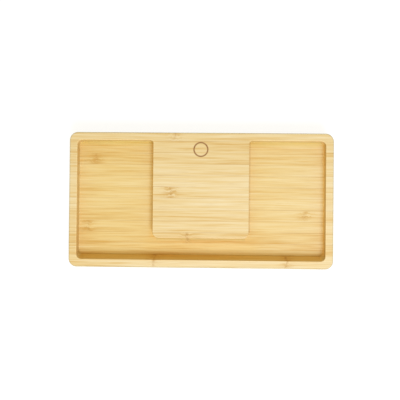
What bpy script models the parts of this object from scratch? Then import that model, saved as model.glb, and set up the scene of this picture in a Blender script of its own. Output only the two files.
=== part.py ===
"""A bamboo desk tray with a wireless charger under its raised middle pad.

Units are metres and +Z is up. The origin lies on the desk, below the middle of the tray. +X runs
along the tray, and +Y runs to its back edge, where the cable plugs in.
"""

import math

import bmesh
import bpy
from mathutils import Vector

# Gaps and cuts
fit_gap = 0.0003
cut_overrun = 0.002

# Bamboo board
tray_length = 0.254
tray_depth = 0.130
board_height = 0.020
tray_corner_radius = 0.008
edge_radius = 0.0009
rim_width = 0.0076

# Wells on three sides of the charging pad
well_depth = 0.010
well_corner_radius = 0.0045
front_wall_run = 0.0044
front_channel = 0.0209
pad_width = 0.0924
pad_corner_radius = 0.0055
pad_root_radius = 0.0028

# Rubber feet
foot_radius = 0.006
foot_proud = 0.0016
foot_seat_depth = 0.0012
foot_inset = 0.017
foot_edge = 0.0005

# Electronics bay, milled from below into the pad
bay_ceiling = 0.0035
bay_side_wall = 0.0082
bay_front_wall = 0.005
bay_back_wall = 0.008
bay_corner_radius = 0.006

# Base cover
cover_thickness = 0.002
cover_recess = 0.0003
cover_end_ledge = 0.004
cover_corner_radius = 0.007
cover_edge = 0.0004
vent_length = 0.008
vent_width = 0.0016
vent_pitch = 0.0042
vent_count = 5
foam_rib_width = 0.0012
foam_rib_height = 0.002

# Cover screws, with countersunk heads
cover_screw_length = 0.010
cover_screw_head_radius = 0.0023
cover_screw_head_height = 0.0013
cover_screw_head_rim = 0.0003
cover_screw_shank_radius = 0.0012
cover_screw_tip = 0.0012
cover_screw_margin = 0.0016
cover_screw_inset = 0.013

# Circuit board and its screws
board_thickness = 0.0016
board_depth = 0.0187
board_side_gap = 0.003
board_end_gap = 0.0006
standoff_height = 0.003
standoff_radius = 0.0025
board_screw_head_radius = 0.0019
board_screw_head_height = 0.0012
board_screw_shank_radius = 0.0009
board_screw_bite = 0.0024
board_screw_inset = 0.0036
board_screw_crown_share = 0.75
recess_arm_width = 0.0005
recess_depth = 0.0007

# Cable socket and the opening behind it
socket_width = 0.0089
socket_height = 0.0032
socket_depth = 0.0073
socket_wall = 0.0003
tongue_block_depth = 0.0026
tongue_thickness = 0.0007
tongue_width = 0.0064
tongue_setback = 0.0010
port_width = 0.0130
port_height = 0.0074
port_flare = 0.0006

# Coil stack, from the bay's ceiling down
adhesive_thickness = 0.0003
wire_diameter = 0.00105
coil_pitch = 0.0015
coil_inner_share = 0.412
coil_front_gap_share = 0.2131
ferrite_thickness = 0.0020
ferrite_margin = 0.0012
ferrite_corner_radius = 0.002
ferrite_to_board = 0.001
foam_inset = 0.004
foam_corner_radius = 0.0015

# Tails of the coil wire
tail_clearance = 0.0006
tail_slot_clearance = 0.0004
tail_bend_radius = 0.0012
tail_landing_inset = 0.0024
tail_offset_share = 0.78
tail_shift_share = 0.388
tail_dive_share = 0.369

# Two rows of parts soldered on the circuit board, the front one clear of the coil's tails
front_margin = 0.0038
row_gap = 0.0013
back_margin = 0.0016
led_inset = 0.0013
chip_edge = 0.00015
soft_edge = 0.0004
can_groove = 0.0003
can_top_gap = 0.0032

# Width, depth and height of the soldered parts, as shares of a row's depth
controller_size_shares = (0.83, 0.83, 0.15)
bridge_chip_size_shares = (0.83, 1, 0.18)
crystal_size_shares = (0.42, 0.53, 0.13)
resonant_capacitor_size_shares = (0.42, 0.53, 0.3)
inductor_size_shares = (1, 1, 0.5)
sense_resistor_size_shares = (0.53, 1.05, 0.1)
led_size_shares = (0.27, 0.27, 0.18)
can_radius_share = 0.525

# Places along the board, as shares of its half width
resonant_capacitor_shares = (-0.74, -0.60, -0.46, -0.32)
input_capacitor_shares = (-0.64, -0.37)
bridge_chip_shares = (0.36, 0.56)
controller_share = 0.0
crystal_share = 0.18
led_share = 0.23
inductor_share = 0.43
sense_resistor_share = 0.65

# Counts
corner_steps = 6
edge_steps = 3
round_sides = 24
small_sides = 16
loop_points = 24
bend_steps = 4

# Levels, from the desk up
underside = foot_proud
rim_top = underside + board_height
well_floor = rim_top - well_depth
bay_top = rim_top - bay_ceiling
cover_low = underside + cover_recess
cover_high = cover_low + cover_thickness
rebate_top = cover_high + fit_gap
board_low = cover_high + standoff_height + fit_gap
board_top = board_low + board_thickness
port_level = board_top + fit_gap + socket_height / 2

# Plan of the wells, the pad and the bay
well_half_length = tray_length / 2 - rim_width
well_half_depth = tray_depth / 2 - rim_width
pad_half_width = pad_width / 2
pad_front = front_channel - well_half_depth
bay_half_width = pad_half_width - bay_side_wall
bay_front = pad_front + bay_front_wall
bay_back = tray_depth / 2 - bay_back_wall
bay_middle = (bay_front + bay_back) / 2

# Plan of the cover
cover_side_ledge = 2 * (cover_screw_head_radius + fit_gap + cover_screw_margin)
rebate_half_width = bay_half_width + cover_side_ledge
rebate_half_depth = (bay_back - bay_front) / 2 + cover_end_ledge
cover_screw_x = bay_half_width + cover_side_ledge / 2
cover_screw_reach = rebate_half_depth - cover_screw_inset

# Plan of the circuit board
board_width = 2 * (bay_half_width - board_side_gap)
board_back = bay_back - board_end_gap
board_front = board_back - board_depth
board_middle = (board_front + board_back) / 2
board_screw_x = board_width / 2 - board_screw_inset
board_screw_y = board_depth / 2 - board_screw_inset
row_depth = (board_depth - front_margin - row_gap - back_margin) / 2
front_row = front_margin + row_depth / 2 - board_depth / 2
back_row = board_depth / 2 - back_margin - row_depth / 2
can_radius = can_radius_share * row_depth
can_height = bay_top - can_top_gap - board_top - fit_gap

# Plan and levels of the coil stack
wire_radius = wire_diameter / 2
bay_front_depth = board_front - bay_front
ferrite_room = (bay_front_depth * (1 - coil_front_gap_share) - ferrite_to_board) / 2
depth_room = ferrite_room - ferrite_margin - wire_radius
width_room = board_screw_x - board_screw_head_radius - tail_clearance - wire_radius
coil_room = min(depth_room, width_room)
coil_inner_radius = coil_inner_share * coil_room
coil_turns = math.floor((coil_room - coil_inner_radius) / coil_pitch - 0.5) + 0.5
coil_outer_radius = coil_inner_radius + coil_pitch * coil_turns
ferrite_half = coil_outer_radius + wire_radius + ferrite_margin
coil_middle = board_front - ferrite_to_board - ferrite_half
adhesive_low = bay_top - fit_gap - adhesive_thickness
wire_level = adhesive_low - fit_gap - wire_radius
ferrite_top = wire_level - wire_radius - fit_gap
ferrite_low = ferrite_top - ferrite_thickness
foam_half = ferrite_half - foam_inset
foam_low = cover_high + fit_gap
foam_height = ferrite_low - fit_gap - foam_low
tail_drop = wire_diameter + tail_clearance
tail_offset = coil_inner_radius * tail_offset_share
tail_shift_length = coil_inner_radius * tail_shift_share
tail_dive_length = coil_inner_radius * tail_dive_share

# Finishes: colour, roughness, metallic
finishes = {
    "bamboo": ((0.80, 0.59, 0.29, 1), 0.45, 0),
    "black_plastic": ((0.022, 0.022, 0.024, 1), 0.50, 0),
    "zinc_screw": ((0.55, 0.56, 0.58, 1), 0.32, 1),
    "grey_rubber": ((0.10, 0.10, 0.105, 1), 0.80, 0),
    "amber_film": ((0.52, 0.26, 0.05, 1), 0.40, 0),
    "copper_wire": ((0.72, 0.33, 0.14, 1), 0.35, 1),
    "ferrite": ((0.05, 0.05, 0.055, 1), 0.60, 0),
    "white_foam": ((0.78, 0.78, 0.75, 1), 0.95, 0),
    "board_green": ((0.02, 0.16, 0.06, 1), 0.40, 0),
    "socket_steel": ((0.66, 0.66, 0.67, 1), 0.30, 1),
    "socket_black": ((0.015, 0.015, 0.016, 1), 0.45, 0),
    "chip_black": ((0.03, 0.03, 0.032, 1), 0.55, 0),
    "capacitor_tan": ((0.42, 0.27, 0.13, 1), 0.45, 0),
    "can_aluminium": ((0.74, 0.75, 0.77, 1), 0.28, 1),
    "inductor_grey": ((0.13, 0.13, 0.14, 1), 0.65, 0),
    "crystal_steel": ((0.70, 0.70, 0.68, 1), 0.25, 1),
    "led_white": ((0.85, 0.86, 0.80, 1), 0.30, 0),
}


def clear_scene():
    """Remove whatever the scene held before."""
    for obj in list(bpy.data.objects):
        bpy.data.objects.remove(obj, do_unlink=True)


def finish(name):
    """Make the named finish once, and give it back."""
    material = bpy.data.materials.get(name)
    if material:
        return material
    colour, roughness, metallic = finishes[name]
    material = bpy.data.materials.new(name)
    material.use_nodes = True
    material.diffuse_color = colour
    shader = material.node_tree.nodes["Principled BSDF"]
    shader.inputs["Base Color"].default_value = colour
    shader.inputs["Roughness"].default_value = roughness
    shader.inputs["Metallic"].default_value = metallic
    return material


def add_object(name, data, finish_name, place=(0, 0, 0), parent=None):
    """Put mesh or curve data into the scene as one sub-part."""
    data.materials.append(finish(finish_name))
    obj = bpy.data.objects.new(name, data)
    obj.location = place
    obj.parent = parent
    bpy.context.scene.collection.objects.link(obj)
    return obj


def mesh_from_rings(name, rings):
    """Join rings of equal count into one closed skin, with a flat cap on the first and last."""
    bm = bmesh.new()
    rows = [[bm.verts.new(point) for point in ring] for ring in rings]
    count = len(rings[0])
    for lower, upper in zip(rows, rows[1:]):
        for i in range(count):
            j = (i + 1) % count
            bm.faces.new((lower[i], lower[j], upper[j], upper[i]))
    bm.faces.new(list(reversed(rows[0])))
    bm.faces.new(rows[-1])
    bmesh.ops.recalc_face_normals(bm, faces=bm.faces)
    mesh = bpy.data.meshes.new(name)
    bm.to_mesh(mesh)
    bm.free()
    shade(mesh)
    return mesh


def shade(mesh):
    """Shade round faces smooth, and keep the edges between flat ones sharp."""
    mesh.shade_smooth()
    mesh.set_sharp_from_angle(angle=math.radians(35))


def rounded_corner(before, corner, after, radius, steps):
    """Points of the arc that rounds one corner of an outline."""
    back = (before - corner).normalized()
    ahead = (after - corner).normalized()
    half = back.angle(ahead) / 2
    reach = radius / math.tan(half)
    centre = corner + (back + ahead).normalized() * (radius / math.sin(half))
    start = corner + back * reach - centre
    end = corner + ahead * reach - centre
    turn = start.angle_signed(end)
    points = []
    for step in range(steps + 1):
        angle = -turn * step / steps
        spun = Vector((start.x * math.cos(angle) - start.y * math.sin(angle),
                       start.x * math.sin(angle) + start.y * math.cos(angle)))
        points.append(centre + spun)
    return points


def rounded_outline(corners, steps=corner_steps):
    """Outline through (x, y, radius) corners, each rounded by its radius."""
    spots = [Vector((x, y)) for x, y, radius in corners]
    points = []
    for i, (x, y, radius) in enumerate(corners):
        after = spots[(i + 1) % len(spots)]
        points += rounded_corner(spots[i - 1], spots[i], after, radius, steps)
    return points


def rounded_rectangle(half_width, half_depth, radius, steps=corner_steps):
    """Outline of a rectangle about the origin with equal round corners."""
    corners = [(-half_width, -half_depth, radius), (half_width, -half_depth, radius),
               (half_width, half_depth, radius), (-half_width, half_depth, radius)]
    return rounded_outline(corners, steps)


def at_level(outline, level):
    """The outline's points as a ring at one height."""
    return [(point[0], point[1], level) for point in outline]


def quarter_steps(count):
    """Sine and cosine pairs of a quarter turn, in even steps after its start."""
    angles = [math.pi / 2 * step / count for step in range(1, count + 1)]
    return [(math.sin(angle), math.cos(angle)) for angle in angles]


def circle(radius, sides):
    """Outline of a circle about the origin."""
    angles = [2 * math.pi * i / sides for i in range(sides)]
    return [(radius * math.cos(angle), radius * math.sin(angle)) for angle in angles]


def turned_mesh(name, profile, sides):
    """Solid turned about Z from (radius, height) pairs, from its low end to its high end."""
    return mesh_from_rings(name, [at_level(circle(radius, sides), height) for radius, height in profile])


def block_mesh(name, half_width, half_depth, low, high, corner_radius, edge, steps=corner_steps):
    """Rectangular block with round upright corners and a small bevel round its top and bottom."""
    inner = rounded_rectangle(half_width - edge, half_depth - edge, corner_radius - edge / 2, steps)
    outer = rounded_rectangle(half_width, half_depth, corner_radius, steps)
    rings = [at_level(inner, low), at_level(outer, low + edge),
             at_level(outer, high - edge), at_level(inner, high)]
    return mesh_from_rings(name, rings)


def prism_mesh(name, outline, low, high):
    """Straight upright prism over an outline."""
    return mesh_from_rings(name, [at_level(outline, low), at_level(outline, high)])


def shape_with(target, tool, operation):
    """Cut the tool from the target, or join it on, with an exact Boolean."""
    tool.hide_render = True
    tool.display_type = "WIRE"
    step = target.modifiers.new(tool.name, "BOOLEAN")
    step.operation = operation
    step.solver = "EXACT"
    step.object = tool


def add_tool(name, mesh, place=(0, 0, 0), parent=None):
    """Place a cutter or an added form, which isn't a sub-part of its own."""
    tool = bpy.data.objects.new(name, mesh)
    tool.location = place
    tool.parent = parent
    bpy.context.scene.collection.objects.link(tool)
    return tool


def cut(target, name, mesh, place=(0, 0, 0)):
    """Cut a mesh, placed in the target's own frame, out of the target."""
    shape_with(target, add_tool(name, mesh, place, target), "DIFFERENCE")


def join(target, name, mesh, place=(0, 0, 0)):
    """Join a mesh, placed in the target's own frame, onto the target."""
    shape_with(target, add_tool(name, mesh, place, target), "UNION")


def settle(target):
    """Apply the target's cuts and joins, drop their tools and mark its sharp edges anew."""
    bpy.context.view_layer.update()
    graph = bpy.context.evaluated_depsgraph_get()
    mesh = bpy.data.meshes.new_from_object(target.evaluated_get(graph))
    tools = [step.object for step in target.modifiers]
    target.modifiers.clear()
    target.data = mesh
    for tool in tools:
        bpy.data.objects.remove(tool, do_unlink=True)
    shade(mesh)


def board_mesh():
    """The bamboo board before milling: round corners, with eased edges above and below."""
    def ring(inset, level):
        outline = rounded_rectangle(tray_length / 2 - inset, tray_depth / 2 - inset,
                                    tray_corner_radius - inset)
        return at_level(outline, level)

    rings = [ring(edge_radius, underside)]
    for sine, cosine in quarter_steps(edge_steps):
        rings.append(ring(edge_radius * (1 - sine), underside + edge_radius * (1 - cosine)))
    rings.append(ring(0, rim_top - edge_radius))
    for sine, cosine in quarter_steps(edge_steps):
        rings.append(ring(edge_radius * (1 - cosine), rim_top - edge_radius * (1 - sine)))
    return mesh_from_rings("tray_body", rings)


def well_outline(growth, front_run):
    """Outline of the wells: a wide pocket with the pad left standing at its back.

    growth widens the pocket on every side, and front_run brings its front wall inwards.
    """
    side = well_half_length + growth
    back = well_half_depth + growth
    front = front_run - well_half_depth - growth
    pad = pad_half_width - growth
    pad_edge = pad_front + growth
    outer = well_corner_radius + growth
    root = pad_root_radius + growth
    nose = pad_corner_radius - growth
    return rounded_outline([
        (-side, front, outer), (side, front, outer), (side, back, outer),
        (pad, back, root), (pad, pad_edge, nose), (-pad, pad_edge, nose), (-pad, back, root),
        (-side, back, outer),
    ])


def well_mesh():
    """Cutter for the wells: upright walls, a sloped front wall and an eased mouth."""
    def run_at(level):
        return front_wall_run * (rim_top - level) / well_depth

    rings = [at_level(well_outline(0, front_wall_run), well_floor)]
    level = rim_top - edge_radius
    rings.append(at_level(well_outline(0, run_at(level)), level))
    for sine, cosine in quarter_steps(edge_steps):
        level = rim_top - edge_radius * (1 - sine)
        rings.append(at_level(well_outline(edge_radius * (1 - cosine), run_at(level)), level))
    rings.append(at_level(well_outline(edge_radius, 0), rim_top + cut_overrun))
    return mesh_from_rings("well_cut", rings)


def bay_mesh():
    """Cutter for the bay that holds the electronics."""
    outline = rounded_rectangle(bay_half_width, (bay_back - bay_front) / 2, bay_corner_radius)
    return prism_mesh("bay_cut", outline, underside - cut_overrun, bay_top)


def rebate_mesh():
    """Cutter for the shallow step that the base cover lies in."""
    outline = rounded_rectangle(rebate_half_width, rebate_half_depth, cover_corner_radius)
    return prism_mesh("rebate_cut", outline, underside - cut_overrun, rebate_top)


def stadium(width, height, growth=0):
    """Outline of a slot with round ends, grown all round by a clearance."""
    radius = height / 2 + growth
    reach = (width - height) / 2
    points = []
    for side in (1, -1):
        for step in range(2 * corner_steps + 1):
            angle = math.pi / 2 * (step / corner_steps - 1)
            points.append((side * (reach + radius * math.cos(angle)), side * radius * math.sin(angle)))
    return points


def port_mesh():
    """Cutter for the plug's way through the back wall, flared at its mouth. It lies along +Z."""
    low = bay_back - cut_overrun
    face = tray_depth / 2
    narrow = stadium(port_width, port_height)
    wide = stadium(port_width, port_height, port_flare)
    rings = [at_level(narrow, low), at_level(narrow, face - port_flare),
             at_level(wide, face), at_level(wide, face + cut_overrun)]
    return mesh_from_rings("port_cut", rings)


def four_places(x, y):
    """Places at the corners of a rectangle: front left, front right, back left, back right."""
    return [(-x, -y), (x, -y), (-x, y), (x, y)]


def make_tray():
    """The bamboo tray, milled from one board."""
    tray = add_object("tray_body", board_mesh(), "bamboo")
    cut(tray, "well_cut", well_mesh())
    cut(tray, "bay_cut", bay_mesh(), (0, bay_middle, 0))
    cut(tray, "rebate_cut", rebate_mesh(), (0, bay_middle, 0))
    port = add_tool("port_cut", port_mesh(), (0, 0, port_level), tray)
    port.rotation_euler = (-math.pi / 2, 0, 0)
    shape_with(tray, port, "DIFFERENCE")
    seat = prism_mesh("foot_seat_cut", circle(foot_radius + fit_gap, round_sides),
                      underside - cut_overrun, underside + foot_seat_depth)
    for i, (x, y) in enumerate(foot_places(), 1):
        cut(tray, f"foot_seat_cut_{i}", seat, (x, y, 0))
    pilot = prism_mesh("pilot_cut", circle(cover_screw_shank_radius + fit_gap, small_sides),
                       cover_high, cover_low + cover_screw_length + fit_gap)
    for i, (x, y) in enumerate(cover_screw_places(), 1):
        cut(tray, f"pilot_cut_{i}", pilot, (x, y + bay_middle, 0))
    settle(tray)
    return tray


def foot_places():
    """Middles of the four feet."""
    return four_places(tray_length / 2 - foot_inset, tray_depth / 2 - foot_inset)


def cover_screw_places():
    """Middles of the four cover screws, measured from the middle of the bay."""
    return four_places(cover_screw_x, cover_screw_reach)


def make_feet(tray):
    """Four rubber feet, glued into round seats in the underside."""
    high = underside + foot_seat_depth - fit_gap
    profile = [(foot_radius - foot_edge, 0), (foot_radius, foot_edge),
               (foot_radius, high - foot_edge), (foot_radius - foot_edge, high)]
    mesh = turned_mesh("foot", profile, round_sides)
    for i, (x, y) in enumerate(foot_places(), 1):
        add_object(f"foot_{i}", mesh.copy(), "grey_rubber", (x, y, 0), tray)


def countersunk_profile(growth, low, high):
    """Profile of a countersunk head and shank, grown all round by a clearance."""
    head = cover_screw_head_radius + growth
    shank = cover_screw_shank_radius + growth
    return [(head, low), (head, cover_screw_head_rim), (shank, cover_screw_head_height), (shank, high)]


def make_cover():
    """The plastic base cover, with holes, vents, posts and a foam rib. Its own Z 0 is its outer face."""
    half_width = rebate_half_width - fit_gap
    half_depth = rebate_half_depth - fit_gap
    corner = cover_corner_radius - fit_gap
    plate = block_mesh("base_cover", half_width, half_depth, 0, cover_thickness, corner, cover_edge)
    cover = add_object("base_cover", plate, "black_plastic", (0, bay_middle, cover_low))
    hole_profile = countersunk_profile(fit_gap, -cut_overrun, cover_thickness + cut_overrun)
    hole = turned_mesh("cover_hole", hole_profile, small_sides)
    for i, (x, y) in enumerate(cover_screw_places(), 1):
        cut(cover, f"cover_hole_{i}", hole, (x, y, 0))
    cut_vents(cover)
    join_foam_rib(cover)
    join_standoffs(cover)
    settle(cover)
    return cover


def join_foam_rib(cover):
    """A low square rib that keeps the foam block in its place."""
    inner = foam_half + fit_gap
    outer = inner + foam_rib_width
    place = (0, coil_middle - bay_middle, 0)
    low = cover_thickness / 2
    high = cover_thickness + foam_rib_height
    corner = foam_corner_radius + fit_gap
    rib = prism_mesh("foam_rib", rounded_rectangle(outer, outer, corner + foam_rib_width), low, high)
    join(cover, "foam_rib", rib, place)
    hollow = prism_mesh("foam_rib_cut", rounded_rectangle(inner, inner, corner), cover_thickness,
                        high + cut_overrun)
    cut(cover, "foam_rib_cut", hollow, place)


def join_standoffs(cover):
    """Four posts that carry the circuit board, each with a hole for its screw."""
    high = cover_thickness + standoff_height
    post = prism_mesh("standoff", circle(standoff_radius, round_sides), cover_thickness / 2, high)
    bore_low = high - board_screw_bite - fit_gap
    bore = prism_mesh("standoff_bore", circle(board_screw_shank_radius + fit_gap, small_sides), bore_low,
                      high + cut_overrun)
    for i, (x, y) in enumerate(board_screw_places(), 1):
        place = (x, y + board_middle - bay_middle, 0)
        join(cover, f"standoff_{i}", post, place)
        cut(cover, f"standoff_bore_{i}", bore, place)


def cut_vents(cover):
    """A row of short slots on each side of the foam block."""
    inner = foam_half + fit_gap + foam_rib_width
    x = (inner + bay_half_width) / 2
    slot = prism_mesh("vent", stadium(vent_length, vent_width), -cut_overrun, cover_thickness + cut_overrun)
    for side in (-1, 1):
        for i in range(vent_count):
            y = coil_middle - bay_middle + (i - (vent_count - 1) / 2) * vent_pitch
            cut(cover, f"vent_{side}_{i}", slot, (side * x, y, 0))


def cross_mesh(name, reach, level):
    """Cutter for a cross recess that opens downwards from its level, with straight arms."""
    arm = recess_arm_width / 2
    corners = [(arm, arm), (reach, arm), (reach, -arm), (arm, -arm), (arm, -reach), (-arm, -reach),
               (-arm, -arm), (-reach, -arm), (-reach, arm), (-arm, arm), (-arm, reach), (arm, reach)]
    return prism_mesh(name, corners, level - recess_depth, level + cut_overrun)


def make_cover_screws(cover):
    """Four countersunk screws that hold the cover to the bamboo. Their heads look down."""
    profile = countersunk_profile(0, 0, cover_screw_length - cover_screw_tip)
    profile.append((cover_screw_shank_radius / 2, cover_screw_length))
    mesh = turned_mesh("cover_screw", profile, small_sides)
    recess = cross_mesh("cover_recess", cover_screw_head_radius / 2, 0)
    for i, (x, y) in enumerate(cover_screw_places(), 1):
        screw = add_object(f"cover_screw_{i}", mesh.copy(), "zinc_screw", (x, y, 0), cover)
        cut(screw, f"cover_recess_{i}", recess, (0, 0, recess_depth))
        settle(screw)


def make_circuit_board():
    """The circuit board. Its own origin is the middle of its upper face."""
    corner = bay_corner_radius - board_end_gap
    outline = rounded_rectangle(board_width / 2, board_depth / 2, corner)
    mesh = prism_mesh("circuit_board", outline, -board_thickness, 0)
    board = add_object("circuit_board", mesh, "board_green", (0, board_middle, board_top))
    hole = prism_mesh("board_hole", circle(board_screw_shank_radius + fit_gap, small_sides),
                      -board_thickness - cut_overrun, cut_overrun)
    for i, (x, y) in enumerate(board_screw_places(), 1):
        cut(board, f"board_hole_{i}", hole, (x, y, 0))
    settle(board)
    return board


def board_screw_places():
    """Middles of the four board screws, measured from the middle of the board."""
    return four_places(board_screw_x, board_screw_y)


def make_board_screws(board):
    """Four pan head screws that hold the circuit board on its posts."""
    head = board_screw_head_radius
    shank = board_screw_shank_radius
    low = -fit_gap - board_thickness - fit_gap - board_screw_bite
    profile = [(shank, low), (shank, 0), (head, 0), (head, board_screw_head_height / 2),
               (head * board_screw_crown_share, board_screw_head_height)]
    mesh = turned_mesh("board_screw", profile, small_sides)
    recess = cross_mesh("board_recess", head / 2, board_screw_head_height)
    for i, (x, y) in enumerate(board_screw_places(), 1):
        screw = add_object(f"board_screw_{i}", mesh.copy(), "zinc_screw", (x, y, fit_gap), board)
        cut(screw, f"board_recess_{i}", recess)
        settle(screw)


def make_socket(board):
    """The socket's steel shell and the plastic tongue in it. Both are built along +Z and laid along +Y."""
    place = (0, board_depth / 2 - socket_depth, fit_gap + socket_height / 2)
    laid = (-math.pi / 2, 0, 0)
    mesh = prism_mesh("usb_socket_shell", stadium(socket_width, socket_height), 0, socket_depth)
    shell = add_object("usb_socket_shell", mesh, "socket_steel", place, board)
    bore = stadium(socket_width, socket_height, -socket_wall)
    cut(shell, "shell_cut", prism_mesh("shell_cut", bore, -cut_overrun, socket_depth + cut_overrun))
    settle(shell)
    shell.rotation_euler = laid
    block = prism_mesh("usb_socket_tongue", stadium(socket_width, socket_height, -socket_wall - fit_gap),
                       0, tongue_block_depth)
    insert = add_object("usb_socket_tongue", block, "socket_black", place, board)
    insert.rotation_euler = laid
    blade = rounded_rectangle(tongue_width / 2, tongue_thickness / 2, tongue_thickness / 4, edge_steps)
    tongue = prism_mesh("tongue", blade, tongue_block_depth / 2, socket_depth - tongue_setback)
    join(insert, "tongue", tongue)
    settle(insert)


def add_block_part(board, name, size_shares, finish_name, x, y, edge=chip_edge):
    """One soldered block: a chip, coil, capacitor, resistor or lamp."""
    width, depth, height = [share * row_depth for share in size_shares]
    mesh = block_mesh(name, width / 2, depth / 2, 0, height, 2 * edge, edge, edge_steps)
    add_object(name, mesh, finish_name, (x, y, fit_gap), board)


def make_soldered_parts(board):
    """Everything soldered on the circuit board besides its socket."""
    half_width = board_width / 2
    add_block_part(board, "controller_chip", controller_size_shares, "chip_black",
                   controller_share * half_width, front_row)
    add_block_part(board, "clock_crystal", crystal_size_shares, "crystal_steel",
                   crystal_share * half_width, front_row)
    for i, share in enumerate(bridge_chip_shares, 1):
        add_block_part(board, f"bridge_chip_{i}", bridge_chip_size_shares, "chip_black",
                       share * half_width, front_row)
    for i, share in enumerate(resonant_capacitor_shares, 1):
        add_block_part(board, f"resonant_capacitor_{i}", resonant_capacitor_size_shares,
                       "capacitor_tan", share * half_width, front_row)
    add_block_part(board, "power_inductor", inductor_size_shares, "inductor_grey",
                   inductor_share * half_width, back_row, soft_edge)
    add_block_part(board, "sense_resistor", sense_resistor_size_shares, "chip_black",
                   sense_resistor_share * half_width, back_row)
    add_block_part(board, "indicator_led", led_size_shares, "led_white", led_share * half_width,
                   board_depth / 2 - led_inset)
    make_input_capacitors(board, half_width)


def make_input_capacitors(board, half_width):
    """Two round aluminium capacitors, each can grooved above its base."""
    groove = can_radius - can_groove
    profile = [(can_radius, 0), (can_radius, 2 * can_groove), (groove, 3 * can_groove),
               (can_radius, 4 * can_groove), (can_radius, can_height - can_groove), (groove, can_height)]
    mesh = turned_mesh("input_capacitor", profile, round_sides)
    for i, share in enumerate(input_capacitor_shares, 1):
        place = (share * half_width, back_row, fit_gap)
        add_object(f"input_capacitor_{i}", mesh.copy(), "can_aluminium", place, board)


def make_coil_stack():
    """The flat layers above and below the coil: adhesive film, ferrite plate and foam block."""
    middle = (0, coil_middle, 0)
    outline = rounded_rectangle(ferrite_half, ferrite_half, ferrite_corner_radius)
    film = prism_mesh("coil_adhesive_film", outline, adhesive_low, adhesive_low + adhesive_thickness)
    add_object("coil_adhesive_film", film, "amber_film", middle)
    plate = add_object("ferrite_plate", prism_mesh("ferrite_plate", outline, ferrite_low, ferrite_top),
                       "ferrite", middle)
    slot_half = wire_radius + tail_slot_clearance
    slot_length = ferrite_half + cut_overrun - tail_shift_length
    slot_outline = rounded_rectangle(slot_half, slot_length / 2, slot_half / 2, edge_steps)
    slot = prism_mesh("tail_slot", slot_outline, ferrite_low - cut_overrun, ferrite_top + cut_overrun)
    cut(plate, "tail_slot", slot, (-tail_offset, tail_shift_length + slot_length / 2, 0))
    settle(plate)
    foam = block_mesh("coil_foam_block", foam_half, foam_half, foam_low, foam_low + foam_height,
                      foam_corner_radius, fit_gap)
    add_object("coil_foam_block", foam, "white_foam", middle)


def ease(share):
    """Smooth step from 0 to 1."""
    return share * share * (3 - 2 * share)


def drop_to_board(x, start_level):
    """End of a wire tail: level along +Y, round a bend and straight down to the circuit board."""
    landing = board_front + tail_landing_inset - coil_middle
    bend_start = landing - tail_bend_radius
    points = [(x, bend_start, start_level)]
    for sine, cosine in quarter_steps(bend_steps):
        level = start_level - tail_bend_radius * (1 - cosine)
        points.append((x, bend_start + tail_bend_radius * sine, level))
    points.append((x, landing, board_top + fit_gap))
    return points


def coil_points():
    """The whole wire: up from the board, under the turns, round the spiral and down to the board again."""
    low = wire_level - tail_drop
    inner_tail = []
    for step in range(bend_steps + 1):
        share = step / bend_steps
        x = -coil_inner_radius + (coil_inner_radius - tail_offset) * ease(share)
        inner_tail.append((x, tail_shift_length * share, wire_level))
    for step in range(1, bend_steps + 1):
        share = step / bend_steps
        y = tail_shift_length + tail_dive_length * share
        inner_tail.append((-tail_offset, y, wire_level - tail_drop * ease(share)))
    inner_tail += drop_to_board(-tail_offset, low)
    spiral = []
    for step in range(1, round(coil_turns * loop_points) + 1):
        turns = step / loop_points
        angle = math.pi + 2 * math.pi * turns
        radius = coil_inner_radius + coil_pitch * turns
        spiral.append((radius * math.cos(angle), radius * math.sin(angle), wire_level))
    outer_tail = drop_to_board(coil_outer_radius, wire_level)
    return [Vector(point) for point in inner_tail[::-1] + spiral + outer_tail]


def least_gap(points):
    """Smallest gap between stretches of the wire that aren't neighbours along it."""
    fine = []
    for start, end in zip(points, points[1:]):
        count = max(1, math.ceil((end - start).length / wire_radius))
        fine += [start.lerp(end, step / count) for step in range(count)]
    travelled = [0]
    for start, end in zip(fine, fine[1:]):
        travelled.append(travelled[-1] + (end - start).length)
    nearest = coil_outer_radius
    for i, point in enumerate(fine):
        for j in range(i + 1, len(fine)):
            if travelled[j] - travelled[i] > coil_inner_radius:
                nearest = min(nearest, (fine[j] - point).length)
    return nearest - wire_diameter


def make_coil():
    """The transmitter coil, one unbroken wire with both of its tails."""
    points = coil_points()
    curve = bpy.data.curves.new("transmitter_coil", "CURVE")
    curve.dimensions = "3D"
    curve.bevel_depth = wire_radius
    curve.bevel_resolution = 1
    curve.use_fill_caps = True
    line = curve.splines.new("POLY")
    line.points.add(len(points) - 1)
    for target, point in zip(line.points, points):
        target.co = (point.x, point.y, point.z, 1)
    add_object("transmitter_coil", curve, "copper_wire", (0, coil_middle, 0))
    print(f"least gap between turns of the coil: {least_gap(points):.6f} m")


def make_charger():
    """Build the whole object."""
    clear_scene()
    tray = make_tray()
    make_feet(tray)
    cover = make_cover()
    make_cover_screws(cover)
    board = make_circuit_board()
    make_board_screws(board)
    make_socket(board)
    make_soldered_parts(board)
    make_coil_stack()
    make_coil()


make_charger()
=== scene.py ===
# %% [markdown]
# # A bamboo charging tray, dressed for its picture
#
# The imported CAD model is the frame. Every piece made here sits on it, in metres, with +Z up. The tray
# is one board of bamboo strips, milled hollow on three sides of a raised charging pad. Most of the
# work is in that bamboo. The electronics below the pad are small, and each gets its own finish too.

# %% Load the frame
import math
from functools import reduce

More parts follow.
